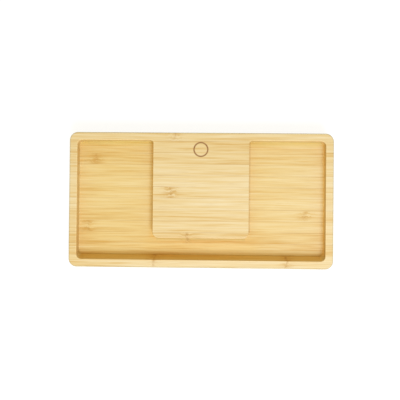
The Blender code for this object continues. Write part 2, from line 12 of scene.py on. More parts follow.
import bmesh
import bpy
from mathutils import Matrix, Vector


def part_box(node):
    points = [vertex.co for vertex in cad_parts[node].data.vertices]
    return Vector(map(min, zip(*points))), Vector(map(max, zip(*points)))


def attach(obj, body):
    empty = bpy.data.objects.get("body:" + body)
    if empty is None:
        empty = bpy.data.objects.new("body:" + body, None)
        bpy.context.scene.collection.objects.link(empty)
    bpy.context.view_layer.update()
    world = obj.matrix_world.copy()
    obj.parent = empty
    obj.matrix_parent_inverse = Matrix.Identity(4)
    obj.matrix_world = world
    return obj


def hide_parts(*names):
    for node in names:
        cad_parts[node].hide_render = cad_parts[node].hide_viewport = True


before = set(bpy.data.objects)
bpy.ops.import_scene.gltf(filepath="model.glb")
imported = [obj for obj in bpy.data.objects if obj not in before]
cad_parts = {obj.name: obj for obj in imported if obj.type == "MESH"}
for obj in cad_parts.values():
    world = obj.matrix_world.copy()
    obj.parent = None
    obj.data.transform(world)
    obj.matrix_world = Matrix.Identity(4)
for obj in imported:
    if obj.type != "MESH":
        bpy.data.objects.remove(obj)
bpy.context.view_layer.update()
print("nodes in the frame:", len(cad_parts))

# %% [markdown]
# ## Camera
#
# The picture is taken from almost straight above, with a slight turn and lean. The place, the turn
# and the lens were worked out from the four corners of the tray, which are known both in metres and
# in the picture.

# %% Camera
camera_place = (0.0116, -0.0057, 0.5809)
camera_turn = (0.630, 1.252, 0.554)
picture_side = 400
focal_pixels = 583
sensor_width = 36


def new_object(data):
    """Put a mesh, a curve, a lamp or a camera into the scene."""
    made = bpy.data.objects.new(data.name, data)
    bpy.context.scene.collection.objects.link(made)
    return made


camera_data = bpy.data.cameras.new("camera")
camera_data.sensor_width = sensor_width
camera_data.lens = focal_pixels / picture_side * sensor_width
camera = new_object(camera_data)
camera.location = camera_place
camera.rotation_euler = [math.radians(angle) for angle in camera_turn]
bpy.context.scene.camera = camera
bpy.context.scene.view_settings.view_transform = "Standard"
print("lens in millimetres:", round(camera_data.lens, 1))

# %% [markdown]
# ## Helpers for node trees
#
# A material is a small network of nodes. These helpers add a node with its inputs in one line, so the
# recipes below read from top to bottom.


# %% Sums in node trees
def fill(tree, made, inputs):
    """Set a node's inputs to values, or link them to other nodes' outputs."""
    for key, value in inputs.items():
        if isinstance(value, bpy.types.NodeSocket):
            tree.links.new(value, made.inputs[key])
        else:
            made.inputs[key].default_value = value


def add(tree, kind, inputs=None, **settings):
    """Add a node. Settings are its own options."""
    made = tree.nodes.new(kind)
    for name, value in settings.items():
        setattr(made, name, value)
    fill(tree, made, inputs or {})
    return made


def maths(tree, operation, *values):
    """One sum on numbers."""
    return add(tree, "ShaderNodeMath", dict(enumerate(values)), operation=operation).outputs[0]


def plus(tree, *values):
    """All the values added up."""
    return reduce(lambda one, other: maths(tree, "ADD", one, other), values)


def minus(tree, value, less):
    """One value less another."""
    return maths(tree, "SUBTRACT", value, less)


def times(tree, *values):
    """All the values multiplied."""
    return reduce(lambda one, other: maths(tree, "MULTIPLY", one, other), values)


def size_of(tree, value):
    """A number without its sign."""
    return maths(tree, "ABSOLUTE", value)


print("helpers for sums:", ", ".join(made.__name__ for made in (plus, minus, times, size_of)))


# %% Noise, colours and materials
def noise(tree, place, scales, detail=2.0, roughness=0.5):
    """Noise at a place, with a scale along X, Y and Z."""
    stretched = add(tree, "ShaderNodeMapping", {"Vector": place, "Scale": scales})
    inputs = {"Vector": stretched.outputs[0], "Scale": 1.0, "Detail": detail, "Roughness": roughness}
    return add(tree, "ShaderNodeTexNoise", inputs).outputs[0]


def remap(tree, value, low, high, to_low, to_high):
    """Turn one range of numbers into another, with a smooth start and end."""
    inputs = {"Value": value, "From Min": low, "From Max": high, "To Min": to_low, "To Max": to_high}
    return add(tree, "ShaderNodeMapRange", inputs, interpolation_type="SMOOTHSTEP").outputs[0]


def blend_colour(tree, share, first, second, mode="MIX"):
    """Blend two colours by a share from 0 to 1."""
    made = add(tree, "ShaderNodeMix", data_type="RGBA", blend_type=mode)
    fill(tree, made, {0: share, 6: first, 7: second})
    return made.outputs[2]


def new_material(name, **values):
    """A material with one Principled shader, whose own sockets take the given values."""
    material = bpy.data.materials.new(name)
    material.use_nodes = True
    shader = material.node_tree.nodes["Principled BSDF"]
    fill(material.node_tree, shader, {key.replace("_", " "): value for key, value in values.items()})
    return material, material.node_tree, shader


def object_place(tree):
    """Places on the object, in metres."""
    return add(tree, "ShaderNodeTexCoord").outputs["Object"]


def relief(tree, shader, height, depth):
    """Let a height from 0 to 1 stand out of the surface by a depth in metres."""
    bump = add(tree, "ShaderNodeBump", {"Height": height, "Distance": depth, "Strength": 1.0})
    tree.links.new(bump.outputs[0], shader.inputs["Normal"])


print("helpers for finishes:", ", ".join(made.__name__ for made in (noise, remap, blend_colour, relief)))

# %% [markdown]
# ## Floor and light
#
# The picture has a white ground and soft light from the front and the right. The shadow beside the
# pad is longer than the one at the right wall, so the lamp is near: about a metre up. Its light is
# cool and the sky that fills the shadows is warm, which makes them amber. The floor glows a little,
# but only for the camera and in reflections, so it looks white there. All other light meets a plain
# pale floor, and the soft shadow stays.

# %% Floor
floor_half = 1.5
floor_white = 0.8
floor_white_seen = 0.22
floor_glow = 0.86

floor_mesh = bpy.data.meshes.new("floor")
corners = [(-floor_half, -floor_half, 0), (floor_half, -floor_half, 0),
           (floor_half, floor_half, 0), (-floor_half, floor_half, 0)]
floor_mesh.from_pydata(corners, [], [(0, 1, 2, 3)])
floor = new_object(floor_mesh)

floor_material, tree, shader = new_material("floor_white", Roughness=0.9)
rays = add(tree, "ShaderNodeLightPath").outputs
seen = reduce(lambda one, other: maths(tree, "MAXIMUM", one, other),
              [rays[f"Is {kind} Ray"] for kind in ("Camera", "Glossy", "Transmission")])
white = remap(tree, seen, 0, 1, floor_white, floor_white_seen)
grey = add(tree, "ShaderNodeCombineColor", {"Red": white, "Green": white, "Blue": white})
tree.links.new(grey.outputs[0], shader.inputs["Base Color"])
glow = add(tree, "ShaderNodeEmission", {"Strength": times(tree, seen, floor_glow)})
both = add(tree, "ShaderNodeAddShader", {0: shader.outputs[0], 1: glow.outputs[0]})
tree.links.new(both.outputs[0], tree.nodes["Material Output"].inputs["Surface"])
floor_mesh.materials.append(floor_material)
print("floor side in metres:", 2 * floor_half)

# %% Light
sky_strength = 0.61
sky_colour = (1.05, 0.95, 0.63, 1)
key_place = Vector((0.24, -0.79, 1.06))
key_size = 0.6
key_power = 12.0
key_colour = (0.94, 1.06, 1.44)

world = bpy.data.worlds.new("studio")
world.use_nodes = True
tree = world.node_tree
sky = tree.nodes["Background"]
fill(tree, sky, {"Color": sky_colour, "Strength": sky_strength})
backdrop = add(tree, "ShaderNodeBackground", {"Color": (1, 1, 1, 1), "Strength": 1.0})
camera_ray = add(tree, "ShaderNodeLightPath").outputs["Is Camera Ray"]
chosen = add(tree, "ShaderNodeMixShader", {0: camera_ray, 1: sky.outputs[0], 2: backdrop.outputs[0]})
tree.links.new(chosen.outputs[0], tree.nodes["World Output"].inputs["Surface"])
bpy.context.scene.world = world

key = bpy.data.lights.new("key_lamp", "AREA")
key.size = key_size
key.energy = key_power
key.color = key_colour
lamp = new_object(key)
lamp.location = key_place
lamp.rotation_euler = (-key_place).to_track_quat("-Z", "Y").to_euler()
print("key lamp's distance in metres:", round(key_place.length, 2))

# %% [markdown]
# ## The tray's sizes
#
# The outer sizes come from the frame. The sizes inside them, such as the rim and the wells, are the
# CAD model's own, and they are named here because the bamboo and the board both need them. The
# edges are eased more finely than in the CAD model, so their radii are set here.

# %% Tray sizes
tray_low, tray_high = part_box("tray_body")
tray_half_length = tray_high.x
tray_half_depth = tray_high.y
rim_top = tray_high.z
underside = tray_low.z
tray_corner = 0.008
edge_radius = 0.0009
overrun = 0.002
joint_gap = 0.0003
rim_width = 0.0076
well_depth = 0.010
well_floor = rim_top - well_depth
well_corner = 0.0045
cove_radius = 0.0003
mouth_radius = 0.0005
front_run = 0.0044
slope_rise = front_run / math.hypot(front_run, well_depth)
front_channel = 0.0209
pad_half_width = 0.0462
pad_corner = 0.0055
pad_root = 0.0028
pad_lip_run = 0.0013
well_half_length = tray_half_length - rim_width
well_half_depth = tray_half_depth - rim_width
pad_front = front_channel - well_half_depth
print("pad width and depth:", round(2 * pad_half_width, 4), round(well_half_depth - pad_front, 4))

# %% [markdown]
# ## Bamboo
#
# Bamboo board is glued up from strips about 11 mm wide. Each strip is cut from another part of the
# cane, so it has its own tone and its own grain. Thin darker glue lines part the strips. Fibres run
# along each strip, and where the cane had a joint, a brown band crosses the strip. The finish is
# built in object coordinates, as a solid block of bamboo. So floors, walls and ends all show the right
# cut through it, down to the dots of the end grain, which crowd towards each strip's outer skin.

# %% Strip sizes and knots
strip_pitch = 0.01096
first_glue_line = 0.05665
glue_line_width = 0.0003
tone_seed = 169.0
knot_places = ((-0.1035, 0.038, 0.5), (-0.110, -0.025, 0.4), (-0.029, 0.0105, 1.0),
               (-0.0125, -0.036, 1.0), (0.1005, -0.014, 0.3), (-0.0445, -0.057, 0.9),
               (0.083, -0.063, 0.9), (-0.025, 0.062, 0.7))
knot_band = 0.0012
knot_halo = 0.0065
print("strips across the board:", round(2 * tray_half_depth / strip_pitch, 1))


# %% Knots of the cane
def knot_group():
    """A node group that measures how near a place is to one knot's band and to its halo."""
    group = bpy.data.node_groups.new("cane_knot", "ShaderNodeTree")
    for name in ("Along", "Strip", "Knot Along", "Knot Strip", "Strength"):
        group.interface.new_socket(name, in_out="INPUT", socket_type="NodeSocketFloat")
    for name in ("Band", "Halo"):
        group.interface.new_socket(name, in_out="OUTPUT", socket_type="NodeSocketFloat")
    given = add(group, "NodeGroupInput").outputs
    out = add(group, "NodeGroupOutput")
    away = minus(group, given["Along"], given["Knot Along"])
    same = maths(group, "COMPARE", given["Strip"], given["Knot Strip"], 0.5)
    for name, reach, strength in (("Band", knot_band, given["Strength"]), ("Halo", knot_halo, 1.0)):
        squared = maths(group, "POWER", maths(group, "DIVIDE", size_of(group, away), reach), 2.0)
        near = maths(group, "EXPONENT", times(group, squared, -1.0))
        fill(group, out, {name: times(group, near, same, strength)})
    return group


def knots(tree, along, strip):
    """Band and halo of all the knots together. Each has a place along X, one along Y and a strength."""
    group = knot_group()
    band = halo = 0.0
    for x, y, strength in knot_places:
        one = add(tree, "ShaderNodeGroup", node_tree=group)
        fill(tree, one, {"Along": along, "Strip": strip, "Knot Along": x, "Strength": strength,
                         "Knot Strip": math.floor((first_glue_line - y) / strip_pitch)})
        band = plus(tree, one.outputs["Band"], band)
        halo = plus(tree, one.outputs["Halo"], halo)
    return band, halo


print("knots on the board:", len(knot_places))

# %% [markdown]
# ### Grain
#
# The grain is four noises, drawn out along the fibres: wide clouds, streaks, threads and fine fibres.
# Their scales count cells in a metre along X, Y and Z. Near a knot they sway and swirl, as fibres do
# round a joint of the cane. Each strip shifts the noises by a draw of its own, so no two are alike.

# %% Scales of the grain
swirl_scales = (130, 130, 130)
sway_scales = (60, 200, 200)
patch_scales = (14, 90, 90)
cloud_scales = (14, 60, 60)
streak_scales = (13, 380, 380)
thread_scales = (24, 800, 800)
fibre_scales = (45, 2200, 2200)
vessel_cells = (30, 1000, 1000)
vessel_sizes = (0.16, 0.40)
vessel_blur = (-0.10, 0.06)
strip_shift = 9.0
band_sway = 0.007
halo_sway = 0.009
fibre_sway = 0.0005
sway_up_share = 0.4
patch_range = (0.38, 0.62)
patch_strength = 0.9
fine_detail = (2.0, 0.6)
print("fibre cells across a millimetre:", fibre_scales[1] / 1000)


# %% Strips and grain
def centred(tree, value, reach):
    """Noise from 0 to 1 turned into a push to either side of nothing."""
    return times(tree, minus(tree, value, 0.5), reach)


def fading(tree, distance, reach):
    """1 at no distance, and less and less up to a reach, where it is 0."""
    return remap(tree, distance, 0.0, reach, 1.0, 0.0)


def strip_grain(tree):
    """The board's strips, and the grain in them, as named numbers."""
    def moved(place, shift, operation="ADD"):
        return add(tree, "ShaderNodeVectorMath", {0: place, 1: shift}, operation=operation).outputs[0]

    place = object_place(tree)
    along, across, up = add(tree, "ShaderNodeSeparateXYZ", {0: place}).outputs
    strips = maths(tree, "DIVIDE", minus(tree, first_glue_line, across), strip_pitch)
    strip = maths(tree, "FLOOR", strips)
    inside = maths(tree, "FRACT", strips)
    seed = plus(tree, strip, tone_seed)
    drawn = add(tree, "ShaderNodeTexWhiteNoise", {"W": seed}, noise_dimensions="1D").outputs["Value"]
    own_shift = add(tree, "ShaderNodeCombineXYZ", {"X": times(tree, drawn, strip_shift)}).outputs[0]
    own = moved(place, own_shift)
    swirl = noise(tree, own, swirl_scales, *fine_detail)
    band, halo = knots(tree, plus(tree, along, centred(tree, swirl, band_sway)), strip)
    sway = plus(tree, centred(tree, noise(tree, own, sway_scales, 1.0), fibre_sway),
                times(tree, centred(tree, swirl, halo_sway), halo))
    sway_up = times(tree, sway, sway_up_share)
    bent = moved(own, add(tree, "ShaderNodeCombineXYZ", {"Y": sway, "Z": sway_up}).outputs[0])
    edge = times(tree, maths(tree, "MINIMUM", inside, minus(tree, 1.0, inside)), strip_pitch)
    patches = remap(tree, noise(tree, own, patch_scales, 1.0), *patch_range, 0.0, patch_strength)
    cells = moved(bent, vessel_cells, "MULTIPLY")
    vessel = add(tree, "ShaderNodeTexVoronoi", {"Vector": cells, "Scale": 1.0}).outputs["Distance"]
    vessel_size = remap(tree, inside, 0.0, 1.0, *vessel_sizes)
    return {
        "along": along, "across": across, "up": up, "drawn": drawn, "band": band, "halo": halo,
        "cloud": noise(tree, own, cloud_scales, 1.0),
        "streak": noise(tree, bent, streak_scales, *fine_detail),
        "thread": noise(tree, bent, thread_scales, 1.0),
        "fibre": noise(tree, bent, fibre_scales, *fine_detail),
        "line": times(tree, fading(tree, edge, glue_line_width), patches),
        "vessel": remap(tree, minus(tree, vessel, vessel_size), *vessel_blur, 1.0, 0.0),
    }


print("first strip's width at the back in mm:", round((tray_half_depth - first_glue_line) * 1000, 2))

# %% Bamboo colours
straw = (0.865, 0.725, 0.445, 1)
honey = (0.79, 0.59, 0.270, 1)
amber = (0.66, 0.39, 0.095, 1)
vessel_brown = (0.53, 0.30, 0.09, 1)
stain_brown = (0.62, 0.36, 0.09, 1)
knot_brown = (0.47, 0.22, 0.04, 1)
glue_brown = (0.50, 0.28, 0.08, 1)
strip_tone_share = 0.28
tone_shares = {"cloud": 0.34, "streak": 0.67, "thread": 0.75, "fibre": 0.55}
tone_rise_along = 0.2
tone_rise_across = 0.5
tone_stops = ((0.08, amber), (0.45, honey), (0.95, straw))
dash_range = (0.62, 0.78)
dash_strength = 0.5
stain_range = (0.40, 0.66)
stain_strength = 0.75
knot_range = (0.35, 0.62)
knot_strengths = (0.62, 0.05)


def grain_colour(tree, grain):
    """Colour of plain bamboo: the strip's tone, its clouds, streaks, threads and fibres."""
    tone = plus(tree, centred(tree, grain["drawn"], strip_tone_share), 0.5,
                times(tree, grain["along"], tone_rise_along),
                times(tree, grain["across"], tone_rise_across))
    for name, share in tone_shares.items():
        tone = plus(tree, tone, centred(tree, grain[name], share))
    ramp = add(tree, "ShaderNodeValToRGB", {"Fac": tone})
    stops = ramp.color_ramp.elements
    first, middle, last = tone_stops
    stops[0].position, stops[0].color = first
    stops[1].position, stops[1].color = last
    stops.new(middle[0]).color = middle[1]
    dashes = remap(tree, grain["fibre"], *dash_range, 0.0, dash_strength)
    return blend_colour(tree, dashes, ramp.outputs["Color"], vessel_brown)


def add_marks(tree, grain, colour):
    """Lay the knots and the glue lines over the grain."""
    stain = times(tree, grain["halo"], remap(tree, grain["streak"], *stain_range, stain_strength, 0.0))
    colour = blend_colour(tree, stain, colour, stain_brown)
    dark = times(tree, grain["band"], remap(tree, grain["thread"], *knot_range, *knot_strengths))
    colour = blend_colour(tree, dark, colour, knot_brown)
    return blend_colour(tree, grain["line"], colour, glue_brown)


print("noises in the bamboo's tone:", ", ".join(tone_shares))

# %% [markdown]
# ### Marks of the tools, and painted light and shade
#
# A milled board isn't one colour all over. Its floors are yellower, because they cut through the
# strips further down and take up more oil. Light and shade are painted into the colour as well. The
# walls are painted darker and browner as shade, and the sloped front wall gets a deep amber painted
# shadow. An amber painted shadow lies at the foot of the front and back walls, beside the pad and
# before it, with a thin painted shade line at the foot of the pad's right side. The right wall's foot
# and lower part get painted bounce light, and its upper part painted shade. The lips round the well
# get a painted highlight and the outer edge painted shade. A plain ring, burnt into the pad, shows
# where a phone goes. Each mark is a share from 0 to 1, worked out from where a place lies on the
# board, and that share of a tint is laid over the grain.


# %% Places on the board
def is_under(tree, value, limit):
    """1 where a number is under a limit, else 0."""
    return maths(tree, "LESS_THAN", value, limit)


def is_over(tree, value, limit):
    """1 where a number is over a limit, else 0."""
    return maths(tree, "GREATER_THAN", value, limit)


def within(tree, value, reach):
    """1 where a number lies within a reach of nothing, else 0."""
    return is_under(tree, size_of(tree, value), reach)


def on_floor(tree, grain):
    """1 on the well's floor and in the cove around it, 0 above them."""
    return is_under(tree, grain["up"], well_floor + cove_radius)


def in_well(tree, grain):
    """1 inside the well's outline and not below its floor. The pad is inside that outline too."""
    return times(tree, within(tree, grain["along"], well_half_length + edge_radius),
                 within(tree, grain["across"], well_half_depth + edge_radius),
                 is_over(tree, grain["up"], well_floor - joint_gap))


def beside_pad(tree, grain, near, far, side):
    """1 where a place lies so far out from one side of the pad, between its corner and the back."""
    out = minus(tree, times(tree, grain["along"], side), pad_half_width)
    half_run = (well_half_depth - pad_front - pad_corner) / 2
    return times(tree, within(tree, minus(tree, out, (near + far) / 2), (far - near) / 2),
                 within(tree, minus(tree, grain["across"], well_half_depth - half_run), half_run))


def beyond(tree, grain, half_length, half_depth, corner):
    """How far a place lies outside of an outline with round corners."""
    over = [maths(tree, "MAXIMUM", minus(tree, size_of(tree, grain[name]), half - corner), 0.0)
            for name, half in (("along", half_length), ("across", half_depth))]
    squares = plus(tree, *[times(tree, one, one) for one in over])
    return minus(tree, maths(tree, "SQRT", squares), corner)


print("floor of the well is", round(well_floor * 1000, 1), "mm above the desk")

# %% Burnt ring
ring_middle = (-0.0003, 0.0489)
ring_radius = 0.0066
ring_line = 0.0014
ring_blur_shares = (0.35, 0.65)
ring_wear = 0.75
fibre_range = (0.3, 0.7)
burnt_brown = (0.30, 0.125, 0.03, 1)


def ring_share(tree, grain):
    """How much a place lies on the burnt ring that marks where a phone goes."""
    away = [maths(tree, "POWER", minus(tree, grain[name], middle), 2.0)
            for name, middle in zip(("along", "across"), ring_middle)]
    off = size_of(tree, minus(tree, maths(tree, "SQRT", plus(tree, *away)), ring_radius))
    on_line = remap(tree, off, *[ring_line * share for share in ring_blur_shares], 1.0, 0.0)
    return times(tree, on_line, is_over(tree, grain["up"], rim_top - joint_gap),
                 remap(tree, grain["fibre"], *fibre_range, 1.0, ring_wear))


print("ring's width in mm:", round(2000 * ring_radius, 1))

# %% Painted light and shade at the feet of the walls
foot_reach = 0.0065
pad_shade_near = 0.0008
pad_shade_far = 0.0018
channel_share = 0.45


def painted_foot_shade_share(tree, grain):
    """Painted shadow: how near a place on the floor is to the front wall, the pad's left side or the
    channel.
    """
    spots = [plus(tree, grain["across"], well_half_depth - front_run),
             size_of(tree, plus(tree, grain["along"], pad_half_width))]
    front, pad = [fading(tree, spot, foot_reach) for spot in spots]
    pad = times(tree, pad, is_over(tree, grain["across"], pad_front))
    before_pad = times(tree, is_under(tree, grain["across"], pad_front), channel_share,
                       remap(tree, size_of(tree, grain["along"]), pad_half_width,
                             pad_half_width + 3 * foot_reach, 1.0, 0.0))
    nearest = reduce(lambda one, other: maths(tree, "MAXIMUM", one, other), (front, pad, before_pad))
    return times(tree, nearest, on_floor(tree, grain))


def painted_back_shade_share(tree, grain):
    """Painted shadow: how near a place on the floor is to the back wall."""
    near = fading(tree, minus(tree, well_half_depth, grain["across"]), foot_reach)
    return times(tree, near, within(tree, grain["along"], well_half_length),
                 is_under(tree, grain["across"], well_half_depth + cove_radius), on_floor(tree, grain))


def painted_right_bounce_share(tree, grain):
    """Painted bounce light: how near a place on the floor is to the right wall."""
    near = fading(tree, minus(tree, well_half_length, grain["along"]), foot_reach / 2)
    return times(tree, near, on_floor(tree, grain))


def painted_pad_front_shade_share(tree, grain):
    """Painted shade: how near a place on the floor is to the pad's front."""
    near = remap(tree, minus(tree, pad_front, grain["across"]), pad_shade_near, 2 * pad_shade_far, 1.0, 0.0)
    return times(tree, near, within(tree, grain["along"], pad_half_width - pad_corner / 2),
                 is_under(tree, grain["across"], pad_front), on_floor(tree, grain))


def painted_pad_side_shade_share(tree, grain):
    """1 on the painted shade line at the foot of the pad's right side."""
    return times(tree, beside_pad(tree, grain, pad_shade_near, pad_shade_far, 1), on_floor(tree, grain))


print("dark line beside the pad, width in mm:", round((pad_shade_far - pad_shade_near) * 1000, 1))

# %% Painted highlight on the lips, painted shade on the outer edge
lip_width = 0.0011
outer_edge_reach = 0.0017


def painted_lip_highlight_share(tree, grain):
    """1 on the painted highlight along the well's lip and along the pad's left side."""
    out = beyond(tree, grain, well_half_length, well_half_depth, well_corner)
    rim = within(tree, minus(tree, out, lip_width / 2), lip_width / 2)
    behind_pad = times(tree, within(tree, grain["along"], pad_half_width),
                       is_over(tree, grain["across"], 0.0))
    lips = plus(tree, times(tree, rim, minus(tree, 1.0, behind_pad)),
                beside_pad(tree, grain, -lip_width, 0.0, -1))
    return times(tree, lips, is_over(tree, grain["up"], rim_top - mouth_radius))


def painted_edge_shade_share(tree, grain):
    """Painted shade: how near a place is to the board's outer edge."""
    out = beyond(tree, grain, tray_half_length, tray_half_depth, tray_corner)
    return remap(tree, out, -outer_edge_reach, 0.0, 0.0, 1.0)


print("lip's width in mm:", round(lip_width * 1000, 1))

# %% Tints of the cuts, and of painted light and shade
# Besides the floor tint and the end brown, these tints are painted light and shade: painted shadow at the
# walls' feet and by the pad, painted shade on the walls, the front slope, the right wall's upper part and
# the outer edge, painted bounce light low on the right wall, and a painted highlight on the lips.
floor_tint = (1.0, 0.955, 0.76, 1)
painted_foot_shade_tint = (1.0, 0.92, 0.68, 1)
painted_back_shade_tint = (0.93, 0.95, 0.70, 1)
painted_right_bounce_tint = (1.12, 1.08, 0.92, 1)
painted_pad_front_shade_tint = (0.87, 0.93, 0.90, 1)
painted_pad_side_shade_tint = (0.84, 0.79, 0.75, 1)
painted_slope_shade_tint = (0.98, 0.82, 0.52, 1)
painted_wall_shade_tint = (0.80, 0.76, 0.60, 1)
right_wall_painted_bounce_tint = (1.28, 1.20, 1.02, 1)
right_wall_painted_shade_tint = (0.86, 0.80, 0.64, 1)
painted_lip_highlight_tint = (1.06, 1.04, 1.01, 1)
painted_edge_shade_tint = (0.82, 0.89, 0.98, 1)
end_brown = (0.62, 0.41, 0.15, 1)
floor_tint_full = 0.004
floor_tint_start = 0.0005
floor_fade_start = 0.03
floor_fade_end = 0.09
floor_fade_share = 0.6
end_range = (0.2, 0.8)
end_tint_share = 0.5
steep_range = (0.55, 0.95)
outer_wall_share = 0.5
slope_blur = 0.06
left_facing_range = (-0.8, -0.3)
dot_shares = (0.12, 0.6)
print("front wall's rise over its length:", round(slope_rise, 2))


# %% Cuts through the bamboo, and painted light and shade
def add_cuts_and_painted_light(tree, grain, colour):
    """Lay over the grain what milling, sawing and sanding do to it, and the painted light and shade."""
    milled = in_well(tree, grain)
    normal = add(tree, "ShaderNodeNewGeometry").outputs["Normal"]
    sideways, _, upwards = add(tree, "ShaderNodeSeparateXYZ", {0: normal}).outputs
    flat = size_of(tree, upwards)
    end = remap(tree, size_of(tree, sideways), *end_range, 0.0, 1.0)
    steep = remap(tree, flat, *steep_range, 1.0, 0.0)
    deep = remap(tree, grain["up"], rim_top - floor_tint_full, rim_top - floor_tint_start, 1.0, 0.0)
    fade = remap(tree, grain["along"], floor_fade_start, floor_fade_end, 1.0, floor_fade_share)
    # Painted shade: steep faces are darkened and browned as if in shade, the sloped front wall most, with
    # a deep amber painted shadow.
    walls = times(tree, steep, remap(tree, milled, 0.0, 1.0, outer_wall_share, 1.0), minus(tree, 1.0, end))
    slope = times(tree, within(tree, minus(tree, flat, slope_rise), slope_blur), milled)
    # Painted bounce light and shade on the right wall: lighter at its foot, darker towards its top.
    left_facing = times(tree, remap(tree, sideways, *left_facing_range, 1.0, 0.0), milled)
    height = remap(tree, grain["up"], well_floor, rim_top, 0.0, 1.0)
    right_wall_painted_light = blend_colour(tree, height, right_wall_painted_bounce_tint, right_wall_painted_shade_tint)
    dots = times(tree, grain["vessel"], remap(tree, end, 0.0, 1.0, *dot_shares))
    layers = (
        (times(tree, deep, fade, milled), floor_tint, "MULTIPLY"),
        (times(tree, painted_foot_shade_share(tree, grain), milled), painted_foot_shade_tint, "MULTIPLY"),
        (times(tree, painted_back_shade_share(tree, grain), milled), painted_back_shade_tint, "MULTIPLY"),
        (walls, blend_colour(tree, slope, painted_wall_shade_tint, painted_slope_shade_tint), "MULTIPLY"),
        (times(tree, end, end_tint_share), end_brown, "MIX"),
        (left_facing, right_wall_painted_light, "MULTIPLY"),
        (times(tree, painted_right_bounce_share(tree, grain), milled), painted_right_bounce_tint, "MULTIPLY"),
        (dots, vessel_brown, "MIX"),
        (painted_pad_side_shade_share(tree, grain), painted_pad_side_shade_tint, "MULTIPLY"),
        (painted_lip_highlight_share(tree, grain), painted_lip_highlight_tint, "MULTIPLY"),
        (painted_pad_front_shade_share(tree, grain), painted_pad_front_shade_tint, "MULTIPLY"),
        (painted_edge_shade_share(tree, grain), painted_edge_shade_tint, "MULTIPLY"),
    )
    for share, tint, mode in layers:
        colour = blend_colour(tree, share, colour, tint, mode)
    return colour


print("ends show", round(dot_shares[1] / dot_shares[0]), "times as much of the vessels as faces do")

# %% Bamboo finish
roughness_range = (0.52, 0.40)
fibre_relief = 0.6
line_relief = 0.6
ring_relief = 2.0
relief_depth = 0.00004
bamboo, tree, shader = new_material("strip_bamboo")
grain = strip_grain(tree)
ring = ring_share(tree, grain)
colour = add_cuts_and_painted_light(tree, grain, add_marks(tree, grain, grain_colour(tree, grain)))
colour = blend_colour(tree, ring, colour, burnt_brown)
rough = remap(tree, grain["fibre"], *fibre_range, *roughness_range)
fill(tree, shader, {"Base Color": colour, "Roughness": rough})
sunk = plus(tree, times(tree, grain["line"], line_relief), times(tree, ring, ring_relief))
relief(tree, shader, minus(tree, times(tree, grain["fibre"], fibre_relief), sunk), relief_depth)
print("nodes in the bamboo finish:", len(tree.nodes))

# %% [markdown]
# ## The board, milled and sanded
#
# The CAD solid has the right shape, but its corners are cut in few flat steps. A real board is sanded
# by hand, so its round corners and eased edges run smoothly. The board is rebuilt here from the same
# sizes with finer steps. Rings of points are joined into closed skins, and exact cuts take the wells,
# the bay below, the foot seats and the cable port out of it. The lip before the pad is sanded wider
# than the others, so that a phone slides on easily.


# %% Outlines
def arc(centre, radius, start, end, steps):
    """Points of an arc, from one angle in degrees to another."""
    angles = [math.radians(start + (end - start) * step / steps) for step in range(steps + 1)]
    return [(centre[0] + radius * math.cos(a), centre[1] + radius * math.sin(a)) for a in angles]


def rounded_corner(before, corner, after, radius, steps):
    """The arc that rounds one corner of an outline."""
    back = (before - corner).normalized()
    ahead = (after - corner).normalized()
    half = back.angle(ahead) / 2
    reach = radius / math.tan(half)
    centre = corner + (back + ahead).normalized() * (radius / math.sin(half))
    first = corner + back * reach - centre
    last = corner + ahead * reach - centre
    start = math.degrees(math.atan2(first.y, first.x))
    return arc(centre, radius, start, start + math.degrees(-first.angle_signed(last)), steps)


def rounded_outline(corners, steps):
    """An outline through (x, y, radius) corners."""
    spots = [Vector((x, y)) for x, y, radius in corners]
    points = []
    for i, (x, y, radius) in enumerate(corners):
        points += rounded_corner(spots[i - 1], spots[i], spots[(i + 1) % len(spots)], radius, steps)
    return points


def rounded_rectangle(half, radius, steps=12):
    """A rectangle about the origin with round corners, from its half width and half depth."""
    signs = [(-1, -1), (1, -1), (1, 1), (-1, 1)]
    return rounded_outline([(x * half[0], y * half[1], radius) for x, y in signs], steps)


def circle(radius, sides=48):
    """A circle about the origin."""
    return arc((0, 0), radius, 0, 360 * (sides - 1) / sides, sides - 1)


def stadium(half_width, radius, steps=10):
    """A slot with round ends, about the origin."""
    reach = half_width - radius
    return arc((reach, 0), radius, -90, 90, steps) + arc((-reach, 0), radius, 90, 270, steps)


print("points in a round corner:", len(rounded_rectangle((1, 1), 0.5)) // 4)


# %% Levels and CAD sizes
def at_level(outline, level, middle=(0, 0)):
    """An outline as a ring at one height, moved to its middle."""
    return [(x + middle[0], y + middle[1], level) for x, y in outline]


def quarter(steps):
    """Sine and cosine pairs of a quarter turn, in even steps after its start."""
    angles = [math.pi / 2 * step / steps for step in range(1, steps + 1)]
    return [(math.sin(angle), math.cos(angle)) for angle in angles]


def half_of(node):
    """Half width and half depth of a CAD node."""
    low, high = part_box(node)
    return (high.x - low.x) / 2, (high.y - low.y) / 2


def middle_of(node):
    """Middle of a CAD node, seen from above."""
    low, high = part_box(node)
    return (low.x + high.x) / 2, (low.y + high.y) / 2


def levels_of(node):
    """Lowest and highest level of a CAD node."""
    low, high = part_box(node)
    return low.z, high.z


def shrunk(half, inset):
    """Half sizes made smaller by an inset on every side."""
    return [side - inset for side in half]


print("half sizes of the tray:", half_of("tray_body"))


# %% Skins
def skin(name, rings):
    """Join rings of equal count into one closed mesh with flat caps."""
    build = bmesh.new()
    levels = [[build.verts.new(point) for point in ring] for ring in rings]
    count = len(rings[0])
    for lower, upper in zip(levels, levels[1:]):
        for i in range(count):
            after = (i + 1) % count
            build.faces.new((lower[i], lower[after], upper[after], upper[i]))
    build.faces.new(list(reversed(levels[0])))
    build.faces.new(levels[-1])
    bmesh.ops.recalc_face_normals(build, faces=build.faces)
    mesh = bpy.data.meshes.new(name)
    build.to_mesh(mesh)
    build.free()
    return mesh


